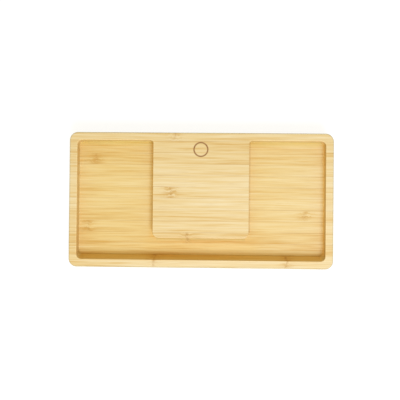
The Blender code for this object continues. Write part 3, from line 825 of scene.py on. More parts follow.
def column(name, outline, levels, middle=(0, 0)):
    """A straight column with this outline."""
    return skin(name, [at_level(outline, level, middle) for level in levels])


def turned(name, profile, sides=48, middle=(0, 0)):
    """A solid turned about an upright axis from (radius, height) pairs."""
    return skin(name, [at_level(circle(radius, sides), height, middle) for radius, height in profile])


print("points round a turned skin:", len(circle(1)))

# %% Cuts and seats
sharp_angle = 32


def apply_modifiers(piece):
    """Turn a piece's modifiers into plain mesh and drop its cutters."""
    bpy.context.view_layer.update()
    graph = bpy.context.evaluated_depsgraph_get()
    mesh = bpy.data.meshes.new_from_object(piece.evaluated_get(graph))
    cutters = [step.object for step in piece.modifiers if step.type == "BOOLEAN"]
    piece.modifiers.clear()
    piece.data = mesh
    for cutter in cutters:
        bpy.data.objects.remove(cutter, do_unlink=True)


def shape_with(piece, mesh, operation="DIFFERENCE"):
    """Cut a mesh out of a piece, or join it on, with an exact Boolean."""
    step = piece.modifiers.new(mesh.name, "BOOLEAN")
    step.operation = operation
    step.solver = "EXACT"
    step.object = new_object(mesh)


def seat(piece, material, slot, *replaced, angle=sharp_angle):
    """Finish a piece and let it ride. It is shaded smooth, but true edges and large faces stay."""
    apply_modifiers(piece)
    piece.data.shade_smooth()
    piece.data.set_sharp_from_angle(angle=math.radians(angle))
    step = piece.modifiers.new("flat faces", "WEIGHTED_NORMAL")
    step.keep_sharp = True
    apply_modifiers(piece)
    piece.data.materials.clear()
    piece.data.materials.append(material)
    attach(piece, "root")
    if replaced:
        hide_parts(*replaced)


print("edges stay sharp from", sharp_angle, "degrees on")

# %% Board and wells
corner_steps = 12
edge_steps = 5


def board_rings():
    """The board before milling, with round corners and eased edges."""
    def ring(inset, level):
        half = shrunk((tray_half_length, tray_half_depth), inset)
        return at_level(rounded_rectangle(half, tray_corner - inset), level)

    low = [ring(edge_radius * (1 - sine), underside + edge_radius * (1 - cosine))
           for sine, cosine in quarter(edge_steps)]
    high = [ring(edge_radius * (1 - cosine), rim_top - edge_radius * (1 - sine))
            for sine, cosine in quarter(edge_steps)]
    return [ring(edge_radius, underside), *low, ring(0, rim_top - edge_radius), *high]


def well_outline(growth, front_inset):
    """The well around the pad, grown on every side, with its front wall moved inwards."""
    side = well_half_length + growth
    back = well_half_depth + growth
    front = front_inset - back
    pad = pad_half_width - growth
    edge = pad_front + max(growth * pad_lip_run / mouth_radius, growth)
    outer, root, nose = well_corner + growth, pad_root + growth, pad_corner - growth
    corners = [(-side, front, outer), (side, front, outer), (side, back, outer), (pad, back, root),
               (pad, edge, nose), (-pad, edge, nose), (-pad, back, root), (-side, back, outer)]
    return rounded_outline(corners, corner_steps)


def well_rings():
    """The well's cutter: a small cove at its foot, a sloped front wall and an eased mouth."""
    def ring(growth, level):
        inset = front_run * max(rim_top - level, 0) / well_depth
        return at_level(well_outline(growth, inset), level)

    cove = [ring(cove_radius * (sine - 1), well_floor + cove_radius * (1 - cosine))
            for sine, cosine in quarter(4)]
    mouth = [ring(mouth_radius * (1 - cosine), rim_top - mouth_radius * (1 - sine))
             for sine, cosine in quarter(edge_steps)]
    return [ring(-cove_radius, well_floor), *cove, ring(0, rim_top - mouth_radius), *mouth,
            ring(mouth_radius, rim_top + overrun)]


board = new_object(skin("tray_board", board_rings()))
shape_with(board, skin("well_cut", well_rings()))
print("wells are", round(well_depth * 1000, 1), "mm deep")

# %% Cuts from below and behind
bay_half_width = 0.038
bay_front = pad_front + 0.005
bay_back = tray_half_depth - 0.008
bay_middle = (0, (bay_front + bay_back) / 2)
bay_half_depth = (bay_back - bay_front) / 2
bay_top = rim_top - 0.0035
bay_corner = 0.006
cover_half = half_of("base_cover")
cover_corner = 0.007
rebate_top = underside + 0.0026
port_level = 0.0107
port_half_width = 0.0065
port_radius = 0.0037
port_flare = 0.0006
pilot_radius = 0.0015
foot_names = [f"foot_{i}" for i in range(1, 5)]
cover_screw_names = [f"cover_screw_{i}" for i in range(1, 5)]


def port_ring(growth, y):
    """The port's outline, stood up to face along Y."""
    outline = stadium(port_half_width + growth, port_radius + growth)
    return [(x, y, port_level + z) for x, z in outline]


below = underside - overrun
bay = rounded_rectangle((bay_half_width, bay_half_depth), bay_corner)
shape_with(board, column("bay_cut", bay, (below, bay_top), bay_middle))
rebate = rounded_rectangle(shrunk(cover_half, -joint_gap), cover_corner)
shape_with(board, column("rebate_cut", rebate, (below, rebate_top), bay_middle))
flare = [port_ring(port_flare * (1 - cosine), tray_half_depth - port_flare * (1 - sine))
         for sine, cosine in quarter(edge_steps)]
port = [port_ring(0, bay_back - overrun), port_ring(0, tray_half_depth - port_flare), *flare,
        port_ring(port_flare, tray_half_depth + overrun)]
shape_with(board, skin("port_cut", port))
for name in foot_names:
    levels = (below, levels_of(name)[1] + joint_gap)
    shape_with(board, column("foot_seat", circle(half_of(name)[0] + joint_gap), levels, middle_of(name)))
for name in cover_screw_names:
    levels = (rebate_top - joint_gap, levels_of(name)[1] + joint_gap)
    shape_with(board, column("pilot", circle(pilot_radius, 24), levels, middle_of(name)))
seat(board, bamboo, "bamboo", "tray_body")
print("faces of the board:", len(board.data.polygons))

# %% [markdown]
# ## Finishes for the small pieces
#
# Plastic, rubber, foam and metal are all mottled a little and have grain that catches the light. One
# recipe serves them all: two close colours, a grain size, a roughness and a depth of relief.


# %% One recipe for grain
coarse_factor = 9
mottle_range = (0.35, 0.65)
rough_range = (0.3, 0.7)
rough_spread = 0.15


def grained(name, dark, light, size, roughness, depth, stretch=(1, 1, 1), **values):
    """A finish mottled between two colours, whose grain has a size and a depth in metres."""
    material, tree, shader = new_material(name, **values)
    place = object_place(tree)
    scales = [share / size for share in stretch]
    fine = noise(tree, place, scales, 3.0, 0.6)
    coarse = noise(tree, place, [scale / coarse_factor for scale in scales], 2.0)
    both = times(tree, plus(tree, fine, coarse), 0.5)
    mottle = remap(tree, both, *mottle_range, 0.0, 1.0)
    rough = remap(tree, coarse, *rough_range, roughness * (1 - rough_spread),
                  roughness * (1 + rough_spread))
    colour = blend_colour(tree, mottle, (*dark, 1), (*light, 1))
    fill(tree, shader, {"Base Color": colour, "Roughness": rough})
    relief(tree, shader, fine, depth)
    print("finish:", name)
    return material


black_plastic = grained("black_plastic", (0.020, 0.020, 0.021), (0.034, 0.034, 0.036), 0.0004, 0.5,
                        0.00004)
grey_rubber = grained("grey_rubber", (0.050, 0.050, 0.052), (0.085, 0.085, 0.088), 0.0005, 0.8, 0.00005)
zinc = grained("zinc", (0.50, 0.50, 0.49), (0.68, 0.68, 0.66), 0.0006, 0.34, 0.00001, Metallic=1.0)

# %% [markdown]
# ## Pieces that repeat
#
# Feet, screws, legs and contacts each repeat one shape in rows. A Geometry Nodes tree places them: it
# lays a row of points, puts the shape on each, and turns the whole row about a middle, once for each
# side. Four corners are a row of two on two sides.


# %% Trees with named inputs
def tree_with_inputs(name, kinds):
    """A Geometry Nodes tree with named inputs and a geometry output."""
    tree = bpy.data.node_groups.new(name, "GeometryNodeTree")
    for label, kind in kinds.items():
        tree.interface.new_socket(label, in_out="INPUT", socket_type="NodeSocket" + kind)
    tree.interface.new_socket("Geometry", in_out="OUTPUT", socket_type="NodeSocketGeometry")
    return tree, add(tree, "NodeGroupInput").outputs


def end_tree(tree, geometry, material):
    """Make the tree's result real mesh and set its material."""
    real = add(tree, "GeometryNodeRealizeInstances", {"Geometry": geometry}).outputs[0]
    dressed = add(tree, "GeometryNodeSetMaterial", {"Geometry": real, "Material": material})
    add(tree, "NodeGroupOutput", {"Geometry": dressed.outputs[0]})
    return tree


print("helpers for trees:", tree_with_inputs.__name__, "and", end_tree.__name__)


# %% Rows by Geometry Nodes
def rows_tree():
    """Rows of one shape, turned about a middle onto several sides."""
    tree, given = tree_with_inputs("rows", {
        "Shape": "Object", "Material": "Material", "Count": "Int", "Start": "Vector",
        "Step": "Vector", "Sides": "Int", "Middle": "Vector"})
    shape = add(tree, "GeometryNodeObjectInfo", {"Object": given["Shape"], "As Instance": True})
    inputs = {"Count": given["Count"], "Start Location": given["Start"], "Offset": given["Step"]}
    line = add(tree, "GeometryNodeMeshLine", inputs).outputs[0]
    inputs = {"Points": line, "Instance": shape.outputs["Geometry"]}
    row = add(tree, "GeometryNodeInstanceOnPoints", inputs).outputs[0]
    whole = add(tree, "GeometryNodeGeometryToInstance", {0: row}).outputs[0]
    inputs = {"Count": given["Sides"], "Position": given["Middle"]}
    middles = add(tree, "GeometryNodePoints", inputs).outputs[0]
    share = maths(tree, "DIVIDE", add(tree, "GeometryNodeInputIndex").outputs[0], given["Sides"])
    turn = add(tree, "ShaderNodeCombineXYZ", {"Z": times(tree, share, 2 * math.pi)}).outputs[0]
    inputs = {"Points": middles, "Instance": whole, "Rotation": turn}
    sides = add(tree, "GeometryNodeInstanceOnPoints", inputs).outputs[0]
    return end_tree(tree, sides, given["Material"])


rows = rows_tree()
print("inputs of the rows tree:", len(rows.interface.items_tree) - 1)


# %% Pieces grown by a tree
def grow(name, tree, **values):
    """Run a tree with these inputs and keep its result as one plain mesh."""
    piece = new_object(bpy.data.meshes.new(name))
    step = piece.modifiers.new(tree.name, "NODES")
    step.node_group = tree
    for item in tree.interface.items_tree:
        if item.in_out == "INPUT":
            step[item.identifier] = values[item.name]
    apply_modifiers(piece)
    for value in values.values():
        if isinstance(value, bpy.types.Object):
            bpy.data.objects.remove(value, do_unlink=True)
    return piece


def in_rows(name, shape, material, slot, start, step=(0, 0), count=1, sides=1, middle=(0, 0), nodes=()):
    """Repeat a mesh or an object in rows, as one finished piece."""
    source = shape if isinstance(shape, bpy.types.Object) else new_object(shape)
    piece = grow(name, rows, Shape=source, Material=material, Count=count, Start=(*start, 0),
                 Step=(*step, 0), Sides=sides, Middle=(*middle, 0))
    seat(piece, material, slot, *nodes)


def at_corners(name, shape, material, slot, nodes):
    """Put a shape at the middles of four nodes, which stand at the corners of a rectangle."""
    across, along = zip(*[middle_of(node) for node in nodes])
    left, right, front, back = min(across), max(across), min(along), max(along)
    in_rows(name, shape, material, slot, (left, (front - back) / 2), (right - left, 0), 2, 2,
            (0, (front + back) / 2), nodes)


print("nodes in the rows tree:", len(rows.nodes))

# %% [markdown]
# ## Rubber feet
#
# Four soft feet keep the tray from sliding and let a cable pass below it. Such a foot is moulded: its
# edge is round, and its sole has a shallow dish inside a ring, which grips. Its outline is turned.

# %% Feet
foot_radius = half_of("foot_1")[0]
foot_high = levels_of("foot_1")[1]
foot_edge = 0.0005
foot_edge_steps = 6
sole_ring = 0.0042
sole_dish = 0.00025
round_out = [(foot_radius - foot_edge * (1 - sine), foot_edge * (1 - cosine))
             for sine, cosine in quarter(foot_edge_steps)]
round_in = [(foot_radius - foot_edge * (1 - cosine), foot_high - foot_edge * (1 - sine))
            for sine, cosine in quarter(foot_edge_steps)]
foot_profile = [(sole_ring - 2 * sole_dish, sole_dish), (sole_ring, 0), (foot_radius - foot_edge, 0),
                *round_out, (foot_radius, foot_high - foot_edge), *round_in]
at_corners("rubber_feet", turned("foot", foot_profile, 64), grey_rubber, "foot_rubber", foot_names)
print("foot radius in mm:", round(foot_radius * 1000, 2))

# %% [markdown]
# ## Base cover
#
# A moulded plastic plate closes the bay. It has countersunk holes, vents on both sides of the coil, a
# rib that keeps the foam in place and four posts for the circuit board. It is rebuilt with a round
# outer edge and fine round holes, from the same sizes as in the CAD model.

# %% Cover sizes
cover_thickness = 0.002
cover_level, post_top = levels_of("base_cover")
cover_top = cover_level + cover_thickness
cover_edge = 0.0005
screw_head_radius = 0.0023
screw_head_rim = 0.0003
screw_head_height = 0.0013
screw_shank_radius = 0.0012
post_radius = 0.0025
post_bore_radius = 0.0012
post_bore_depth = 0.0027
rib_width = 0.0012
rib_height = 0.002
vent_half_length = 0.004
vent_radius = 0.0008
vent_pitch = 0.0042
vent_count = 5
foam_half = half_of("coil_foam_block")
coil_middle = middle_of("coil_foam_block")
foam_corner = 0.0015
board_screw_names = [f"board_screw_{i}" for i in range(1, 5)]
print("cover's size in mm:", [round(2000 * side, 1) for side in cover_half])


# %% Blocks and holes
def eased_block(name, half, corner, levels, edges=(0, 0), middle=(0, 0), steps=4):
    """A block with round upright corners, and with round edges below and above."""
    def ring(inset, level):
        outline = rounded_rectangle(shrunk(half, inset), max(corner - inset, corner / 5), 8)
        return at_level(outline, level, middle)

    (low, high), (low_edge, high_edge) = levels, edges
    rings = [ring(low_edge, low)]
    if low_edge:
        rings += [ring(low_edge * (1 - sine), low + low_edge * (1 - cosine))
                  for sine, cosine in quarter(steps)]
    rings.append(ring(0, high - high_edge))
    if high_edge:
        rings += [ring(high_edge * (1 - cosine), high - high_edge * (1 - sine))
                  for sine, cosine in quarter(steps)]
    return skin(name, rings)


def turn_at(piece, nodes, profile, operation="DIFFERENCE"):
    """Turn a profile about the middle of each node, and cut it out of a piece or join it on."""
    for node in nodes:
        shape_with(piece, turned("turned", profile, middle=middle_of(node)), operation)


print("points round a block:", len(rounded_rectangle(foam_half, foam_corner, 8)))

# %% Cover
cover = new_object(eased_block("base_plate", cover_half, cover_corner - joint_gap,
                               (cover_level, cover_top), (cover_edge, joint_gap / 2), bay_middle))
head = screw_head_radius + joint_gap
shank = screw_shank_radius + joint_gap
through = (cover_level - overrun, cover_top + overrun)
turn_at(cover, cover_screw_names, [
    (head, through[0]), (head, cover_level + screw_head_rim),
    (shank, cover_level + screw_head_height), (shank, through[1])])
rib_inner = foam_half[0] + joint_gap
rib_outer = rib_inner + rib_width
vent_place = (rib_outer + bay_half_width) / 2
vent = stadium(vent_half_length, vent_radius)
for side in (-1, 1):
    for i in range(vent_count):
        spot = (side * vent_place, coil_middle[1] + (i - (vent_count - 1) / 2) * vent_pitch)
        shape_with(cover, column("vent", vent, through, spot))
rib_low = cover_top - cover_edge
rib_top = cover_top + rib_height
rib = rounded_rectangle((rib_outer, rib_outer), foam_corner + rib_width + joint_gap)
shape_with(cover, column("rib", rib, (rib_low, rib_top), coil_middle), "UNION")
hollow = rounded_rectangle((rib_inner, rib_inner), foam_corner + joint_gap)
shape_with(cover, column("rib_hollow", hollow, (cover_top, rib_top + overrun), coil_middle))
turn_at(cover, board_screw_names, [
    (post_radius + cover_edge, rib_low), (post_radius + cover_edge, cover_top),
    (post_radius, cover_top + cover_edge), (post_radius, post_top)], "UNION")
turn_at(cover, board_screw_names, [
    (post_bore_radius, post_top - post_bore_depth), (post_bore_radius, post_top + overrun)])
seat(cover, black_plastic, "cover_plastic", "base_cover")
print("vents in the cover:", 2 * vent_count)

# %% [markdown]
# ## Screws
#
# Countersunk screws hold the cover to the bamboo, and pan head screws hold the circuit board on its
# posts. The thread is made by moving the points of each ring in and out by a wave that climbs with
# the turn. The cross recess narrows downwards, as a real driver needs.


# %% Threads and recesses
thread_pitch = 0.0008
thread_depth = 0.00022
thread_sides = 32
rings_per_pitch = 6
head_edge = 0.0001
recess_depth = 0.0008
recess_reach_share = 0.55
recess_arm_share = 0.26
recess_taper_share = 0.45


def threaded_rings(radius, low, high):
    """Rings of a threaded shank from one height to another."""
    count = math.ceil((high - low) / thread_pitch * rings_per_pitch)
    rings = []
    for i in range(count + 1):
        level = low + (high - low) * i / count
        ring = []
        for side in range(thread_sides):
            turn = side / thread_sides
            phase = (level / thread_pitch - turn) % 1
            reach = radius - thread_depth * abs(2 * phase - 1)
            angle = 2 * math.pi * turn
            ring.append((reach * math.cos(angle), reach * math.sin(angle), level))
        rings.append(ring)
    return rings


def plain_rings(profile):
    """Rings of a screw's plain stretches, from (radius, height) pairs."""
    return [at_level(circle(radius, thread_sides), level) for radius, level in profile]


def cross_ring(reach, level):
    """A cross whose arms end at this reach."""
    arm = reach * recess_arm_share
    return at_level([(arm, arm), (reach, arm), (reach, -arm), (arm, -arm), (arm, -reach), (-arm, -reach),
                     (-arm, -arm), (-reach, -arm), (-reach, arm), (-arm, arm), (-arm, reach),
                     (arm, reach)], level)


def screw(name, rings, head_radius, mouth, floor_level):
    """A screw of rings with its cross recess cut, which is wide at its mouth and narrow at its floor."""
    made = new_object(skin(name, rings))
    reach = head_radius * recess_reach_share
    shape_with(made, skin("recess", [
        cross_ring(reach * (1 - recess_taper_share), floor_level), cross_ring(reach, mouth),
        cross_ring(reach * (1 + recess_taper_share), 2 * mouth - floor_level)]))
    apply_modifiers(made)
    return made


print("rings in a centimetre of thread:", round(0.01 / thread_pitch * rings_per_pitch))

# %% Cover screws
screw_low, screw_high = levels_of("cover_screw_1")
tip_length = 0.0012
shank_low = screw_low + screw_head_height
head_rings = plain_rings([
    (screw_head_radius - head_edge, screw_low), (screw_head_radius, screw_low + head_edge),
    (screw_head_radius, screw_low + screw_head_rim), (screw_shank_radius, shank_low)])
shank_rings = threaded_rings(screw_shank_radius, shank_low + 2 * head_edge, screw_high - tip_length)
tip_rings = plain_rings([(screw_shank_radius / 2, screw_high - head_edge),
                         (screw_shank_radius / 4, screw_high)])
shape = screw("cover_screw", head_rings + shank_rings + tip_rings, screw_head_radius, screw_low,
              screw_low + recess_depth)
at_corners("cover_screws", shape, zinc, "screw_steel", cover_screw_names)
print("cover screw length in mm:", round((screw_high - screw_low) * 1000, 1))

# %% Board screws
tip_level, pan_top = levels_of("board_screw_1")
pan_radius = half_of("board_screw_1")[0]
pan_height = 0.0012
pan_rim_share = 0.45
pan_rise_share = 0.53
pan_dome_share = 0.4
pan_flat_share = 0.55
pan_shank_radius = 0.0009
seat_level = pan_top - pan_height
shank_rings = plain_rings([(pan_shank_radius / 2, tip_level)])
shank_rings += threaded_rings(pan_shank_radius, tip_level + pan_shank_radius / 2, seat_level - head_edge)
dome = [(pan_radius * (1 - pan_dome_share * (1 - cosine)),
         seat_level + pan_height * (pan_rim_share + pan_rise_share * sine))
        for sine, cosine in quarter(5)[:-1]]
head_rings = plain_rings([(pan_radius - head_edge, seat_level), (pan_radius, seat_level + head_edge),
                          (pan_radius, seat_level + pan_height * pan_rim_share), *dome,
                          (pan_radius * pan_flat_share, pan_top)])
shape = screw("board_screw", shank_rings + head_rings, pan_radius, pan_top, pan_top - recess_depth)
at_corners("board_screws", shape, zinc, "screw_steel", board_screw_names)
print("board screw length in mm:", round((pan_top - tip_level) * 1000, 1))

# %% [markdown]
# ## Coil stack
#
# A wireless charger presses a flat coil of stranded wire against its face. An adhesive film holds
# the coil, a ferrite plate behind it turns its field upwards, and a foam block on the cover pushes
# the stack into place. The coil follows the CAD model's path with finer steps. A Geometry Nodes tree
# runs a profile of six strands along it and twists the profile, so the strands show.

# %% Coil sizes
wire_radius = 0.000525
strand_count = 6
strand_share = 1 / 3
strand_twist = 0.007
wire_step = 0.0007
coil_pitch = 0.0015
coil_turns = 9.5
loop_steps = 90
tail_steps = 12
wire_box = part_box("transmitter_coil")
coil_outer_radius = wire_box[1].x - wire_radius
coil_inner_radius = coil_outer_radius - coil_pitch * coil_turns
wire_level = wire_box[1].z - wire_radius
tail_drop = 2 * wire_radius + 0.0006
tail_offset = 0.78 * coil_inner_radius
tail_shift = 0.388 * coil_inner_radius
tail_dive = 0.369 * coil_inner_radius
tail_bend = 0.0012
landing = wire_box[1].y - wire_radius - coil_middle[1]
print("coil radii in mm:", round(coil_inner_radius * 1000, 2), round(coil_outer_radius * 1000, 2))


# %% Path of the wire
def ease(share):
    """Smooth step from 0 to 1."""
    return share * share * (3 - 2 * share)


def drop_to_board(x, level):
    """The end of a tail: along +Y, round a bend and straight down to the circuit board."""
    start = landing - tail_bend
    bend = [(x, start + tail_bend * sine, level - tail_bend * (1 - cosine)) for sine, cosine in quarter(8)]
    return [(x, start, level), *bend, (x, landing, wire_box[0].z)]


def wire_path():
    """The whole wire: up from the board, under the turns, round the spiral and down again."""
    shares = [step / tail_steps for step in range(tail_steps + 1)]
    tail = [(-coil_inner_radius + (coil_inner_radius - tail_offset) * ease(share), tail_shift * share,
             wire_level) for share in shares]
    tail += [(-tail_offset, tail_shift + tail_dive * share, wire_level - tail_drop * ease(share))
             for share in shares[1:]]
    tail += drop_to_board(-tail_offset, wire_level - tail_drop)
    spiral = []
    for step in range(1, round(coil_turns * loop_steps) + 1):
        turns = step / loop_steps
        angle = math.pi + 2 * math.pi * turns
        radius = coil_inner_radius + coil_pitch * turns
        spiral.append((radius * math.cos(angle), radius * math.sin(angle), wire_level))
    points = tail[::-1] + spiral + drop_to_board(coil_outer_radius, wire_level)
    return [(x, y + coil_middle[1], z) for x, y, z in points]


def curve_object(name, lines, cyclic=False):
    """A curve object of straight-stepped lines."""
    curve = bpy.data.curves.new(name, "CURVE")
    curve.dimensions = "3D"
    for line in lines:
        spline = curve.splines.new("POLY")
        spline.points.add(len(line) - 1)
        spline.use_cyclic_u = cyclic
        for target, point in zip(spline.points, line):
            target.co = (*point, 1)
    return new_object(curve)


print("points on the wire's path:", len(wire_path()))


# %% Wire by Geometry Nodes
def wire_tree():
    """Run a profile along a path and twist it."""
    tree, given = tree_with_inputs("wire", {"Path": "Object", "Profile": "Object", "Material": "Material",
                                            "Step": "Float", "Twist Length": "Float"})
    path, profile = [add(tree, "GeometryNodeObjectInfo", {"Object": given[name]}).outputs["Geometry"]
                     for name in ("Path", "Profile")]
    steps = add(tree, "GeometryNodeResampleCurve", {"Curve": path, "Length": given["Step"]}, mode="LENGTH")
    length = add(tree, "GeometryNodeSplineParameter").outputs["Length"]
    tilt = times(tree, maths(tree, "DIVIDE", length, given["Twist Length"]), 2 * math.pi)
    twisted = add(tree, "GeometryNodeSetCurveTilt", {"Curve": steps.outputs[0], "Tilt": tilt})
    inputs = {"Curve": twisted.outputs[0], "Profile Curve": profile, "Fill Caps": True}
    solid = add(tree, "GeometryNodeCurveToMesh", inputs).outputs[0]
    return end_tree(tree, solid, given["Material"])


def strand_profile():
    """Outline of a bundle of round strands about a middle one."""
    strand = wire_radius * strand_share
    points = []
    for i in range(strand_count):
        turn = 360 * i / strand_count
        middle = (2 * strand * math.cos(math.radians(turn)), 2 * strand * math.sin(math.radians(turn)))
        points += arc(middle, strand, turn - 70, turn + 70, 4)
    return [(x, y, 0) for x, y in points]


enamel = grained("enamelled_copper", (0.50, 0.17, 0.05), (0.76, 0.34, 0.13), 0.0008, 0.3, 0.00001,
                 Metallic=1.0)
wires = wire_tree()
wire = grow("coil_winding", wires, **{
    "Path": curve_object("path", [wire_path()]),
    "Profile": curve_object("profile", [strand_profile()], True),
    "Material": enamel, "Step": wire_step, "Twist Length": strand_twist})
seat(wire, enamel, "copper_wire", "transmitter_coil", angle=50)
print("faces of the winding:", len(wire.data.polygons))

# %% Film
stack_corner = 0.002
film_edge = 0.00005
amber_film = grained("amber_film", (0.42, 0.20, 0.035), (0.56, 0.30, 0.07), 0.0015, 0.35, 0.00002)
stack_half = half_of("coil_adhesive_film")
low, high = levels_of("coil_adhesive_film")
film = new_object(eased_block("adhesive_sheet", stack_half, stack_corner, (low, high),
                              (film_edge, film_edge), coil_middle))
film_hole = circle(coil_inner_radius - 2 * coil_pitch, 64)
shape_with(film, column("film_hole", film_hole, (low - overrun, high + overrun), coil_middle))
seat(film, amber_film, "adhesive_film", "coil_adhesive_film")
print("film thickness in mm:", round((high - low) * 1000, 2))

# %% Ferrite
ferrite_edge = 0.00015
slot_half = wire_radius + 0.0004
score_depth = 0.00012
ferrite_grey = grained("ferrite_grey", (0.030, 0.030, 0.033), (0.070, 0.070, 0.074), 0.0003, 0.6, 0.00002)
low, high = levels_of("ferrite_plate")
plate = new_object(eased_block("ferrite_tile", stack_half, stack_corner, (low, high),
                               (ferrite_edge, ferrite_edge), coil_middle))
slot_reach = (stack_half[1] + overrun - tail_shift) / 2
slot = rounded_rectangle((slot_half, slot_reach), slot_half * 0.9, 8)
slot_middle = (-tail_offset, coil_middle[1] + tail_shift + slot_reach)
shape_with(plate, column("tail_slot", slot, (low - overrun, high + overrun), slot_middle))
for share in (-0.5, 0, 0.5):
    for half, aside in (((score_depth / 2, 2 * stack_half[0]), (share * stack_half[0], 0)),
                        ((2 * stack_half[0], score_depth / 2), (0, share * stack_half[0]))):
        outline = [(-half[0], -half[1]), (half[0], -half[1]), (half[0], half[1]), (-half[0], half[1])]
        spot = (aside[0], aside[1] + coil_middle[1])
        shape_with(plate, column("score", outline, (low - overrun, low + score_depth), spot))
seat(plate, ferrite_grey, "ferrite", "ferrite_plate")
print("ferrite thickness in mm:", round((high - low) * 1000, 2))

# %% Foam block
foam_edge = 0.0006
foam_white = grained("foam_white", (0.66, 0.66, 0.63), (0.80, 0.80, 0.77), 0.0006, 0.95, 0.00025)
low, high = levels_of("coil_foam_block")
foam = new_object(eased_block("foam_pad", foam_half, foam_corner, (low, high), (foam_edge, foam_edge),
                              coil_middle, 6))
seat(foam, foam_white, "foam", "coil_foam_block", angle=50)
print("foam height in mm:", round((high - low) * 1000, 2))

# %% [markdown]
# ## Circuit board
#
# The board carries everything that turns the cable's power into the coil's current. Its copper traces
# run below green lacquer, so they show as low ridges, and every part stands on tinned pads.

# %% Board
board_green = grained("board_green", (0.010, 0.105, 0.040), (0.016, 0.150, 0.058), 0.0006, 0.36, 0.000005)
circuit_low, circuit_top = levels_of("circuit_board")
circuit_half = half_of("circuit_board")
circuit_corner = 0.0054
circuit_edge = 0.0001
part_level = circuit_top + joint_gap
circuit = new_object(eased_block("power_board", circuit_half, circuit_corner, (circuit_low, circuit_top),
                                 (circuit_edge, circuit_edge), middle_of("circuit_board")))
turn_at(circuit, board_screw_names, [
    (post_bore_radius, circuit_low - overrun), (post_bore_radius, circuit_top + overrun)])
seat(circuit, board_green, "board", "circuit_board")
print("board's size in mm:", [round(2000 * side, 1) for side in circuit_half])

# %% Traces
trace_green = grained("trace_green", (0.035, 0.28, 0.11), (0.050, 0.34, 0.14), 0.0006, 0.34, 0.000005)
trace_height = 0.00007
trace_width = 0.0007
trace_step = 0.0005
no_twist = 1000.0
route_plans = (
    ((-3.0, 50.5), (-3.0, 48.0), (-9.0, 48.0), (-12.9, 48.0)), ((-12.9, 48.0), (-22.4, 48.0)),
    ((3.0, 50.5), (3.0, 48.4), (12.6, 48.4), (12.6, 50.0)), ((17.6, 50.0), (20.0, 48.0), (22.8, 48.0)),
    ((3.6, 46.0), (4.6, 47.4), (11.0, 47.4), (11.0, 46.8)),
    ((3.6, 43.0), (4.6, 41.6), (8.8, 41.6), (10.0, 42.4)),
    ((-3.6, 46.0), (-6.0, 46.8), (-9.6, 46.8)), ((-3.6, 43.0), (-6.0, 41.4), (-9.6, 41.4), (-11.2, 42.4)),
    ((-11.2, 40.4), (-26.0, 40.4)), ((-11.2, 40.4), (-8.0, 39.4), (-8.0, 40.0)),
    ((13.0, 41.0), (16.0, 40.4), (23.0, 40.4), (24.5, 40.4)), ((22.8, 56.0), (20.0, 55.7), (15.0, 55.7)),
    ((5.2, 55.2), (5.2, 53.0), (6.4, 52.0), (6.4, 47.0)), ((27.0, 42.0), (27.0, 52.0), (25.6, 53.4)),
)
routes = [[(x / 1000, y / 1000, circuit_top + trace_height / 2) for x, y in plan] for plan in route_plans]
flat = rounded_rectangle((trace_width / 2, trace_height / 2), trace_height / 3, 2)
traces = grow("board_traces", wires, **{
    "Path": curve_object("path", routes),
    "Profile": curve_object("profile", [[(y, x, 0) for x, y in flat]], True),
    "Material": trace_green, "Step": trace_step, "Twist Length": no_twist})
seat(traces, trace_green, "board")
print("traces:", len(routes))

# %% [markdown]
# ## Chips
#
# A chip is moulded in a split tool, so its sides lean inwards from the parting line, and a dimple
# marks its first leg. The controller is a flat square package with pads along all four sides. The two
# bridge chips have bent legs on two sides.

# %% Chip bodies
chip_black = grained("chip_black", (0.022, 0.022, 0.023), (0.040, 0.040, 0.042), 0.0002, 0.55, 0.00001)
chip_lean = 0.00012
chip_edge = 0.00015
dimple_radius = 0.0003
dimple_depth = 0.0001


def part_size(node):
    """Half sizes, middle and top of a part on the circuit board."""
    return half_of(node), middle_of(node), levels_of(node)[1]


def moulded_body(name, half, high, middle, node):
    """A moulded body with leaning sides, a parting line and a dimple at its first leg."""
    parting = (part_level + high) / 2
    steps = [(chip_lean, part_level), (0, parting - chip_lean / 4), (0, parting + chip_lean / 4),
             (chip_lean, high - chip_edge / 2), (chip_lean + chip_edge / 2, high)]
    rings = [at_level(rounded_rectangle(shrunk(half, inset), chip_edge, 3), level, middle)
             for inset, level in steps]
    body = new_object(skin(name, rings))
    corner = (middle[0] - half[0] + 3 * dimple_radius, middle[1] + half[1] - 3 * dimple_radius)
    dimple = [(dimple_radius, high - dimple_depth), (dimple_radius, high + overrun)]
    shape_with(body, turned("dimple", dimple, 24, corner))
    seat(body, chip_black, "chip", node)


print("chip sides lean in by", round(chip_lean * 1000, 2), "mm")

# %% Controller
tin = grained("tin", (0.58, 0.58, 0.56), (0.78, 0.78, 0.76), 0.0005, 0.30, 0.00001, Metallic=1.0)
pad_half = (0.000125, 0.0002)
pad_pitch = 0.0005
pads_per_side = 8
pad_height = 0.0002
half, spot, high = part_size("controller_chip")
moulded_body("controller_body", half, high, spot, "controller_chip")
shape = eased_block("pad", pad_half, pad_half[0] / 4, (circuit_top, part_level + pad_height),
                    (0, pad_half[0] / 4))
start = (-(pads_per_side - 1) / 2 * pad_pitch, half[1] - pad_half[1] / 2)
in_rows("controller_pads", shape, tin, "crystal_steel", start, (pad_pitch, 0), pads_per_side, 4, spot)
print("controller pads:", 4 * pads_per_side)

# %% Bridge chips
leg_pitch = 0.00127
leg_width = 0.0004
leg_thick = 0.35 * leg_width
leg_slant_share = 0.35
leg_shoulder = 0.0004
leg_count = 4
body_share = 0.65


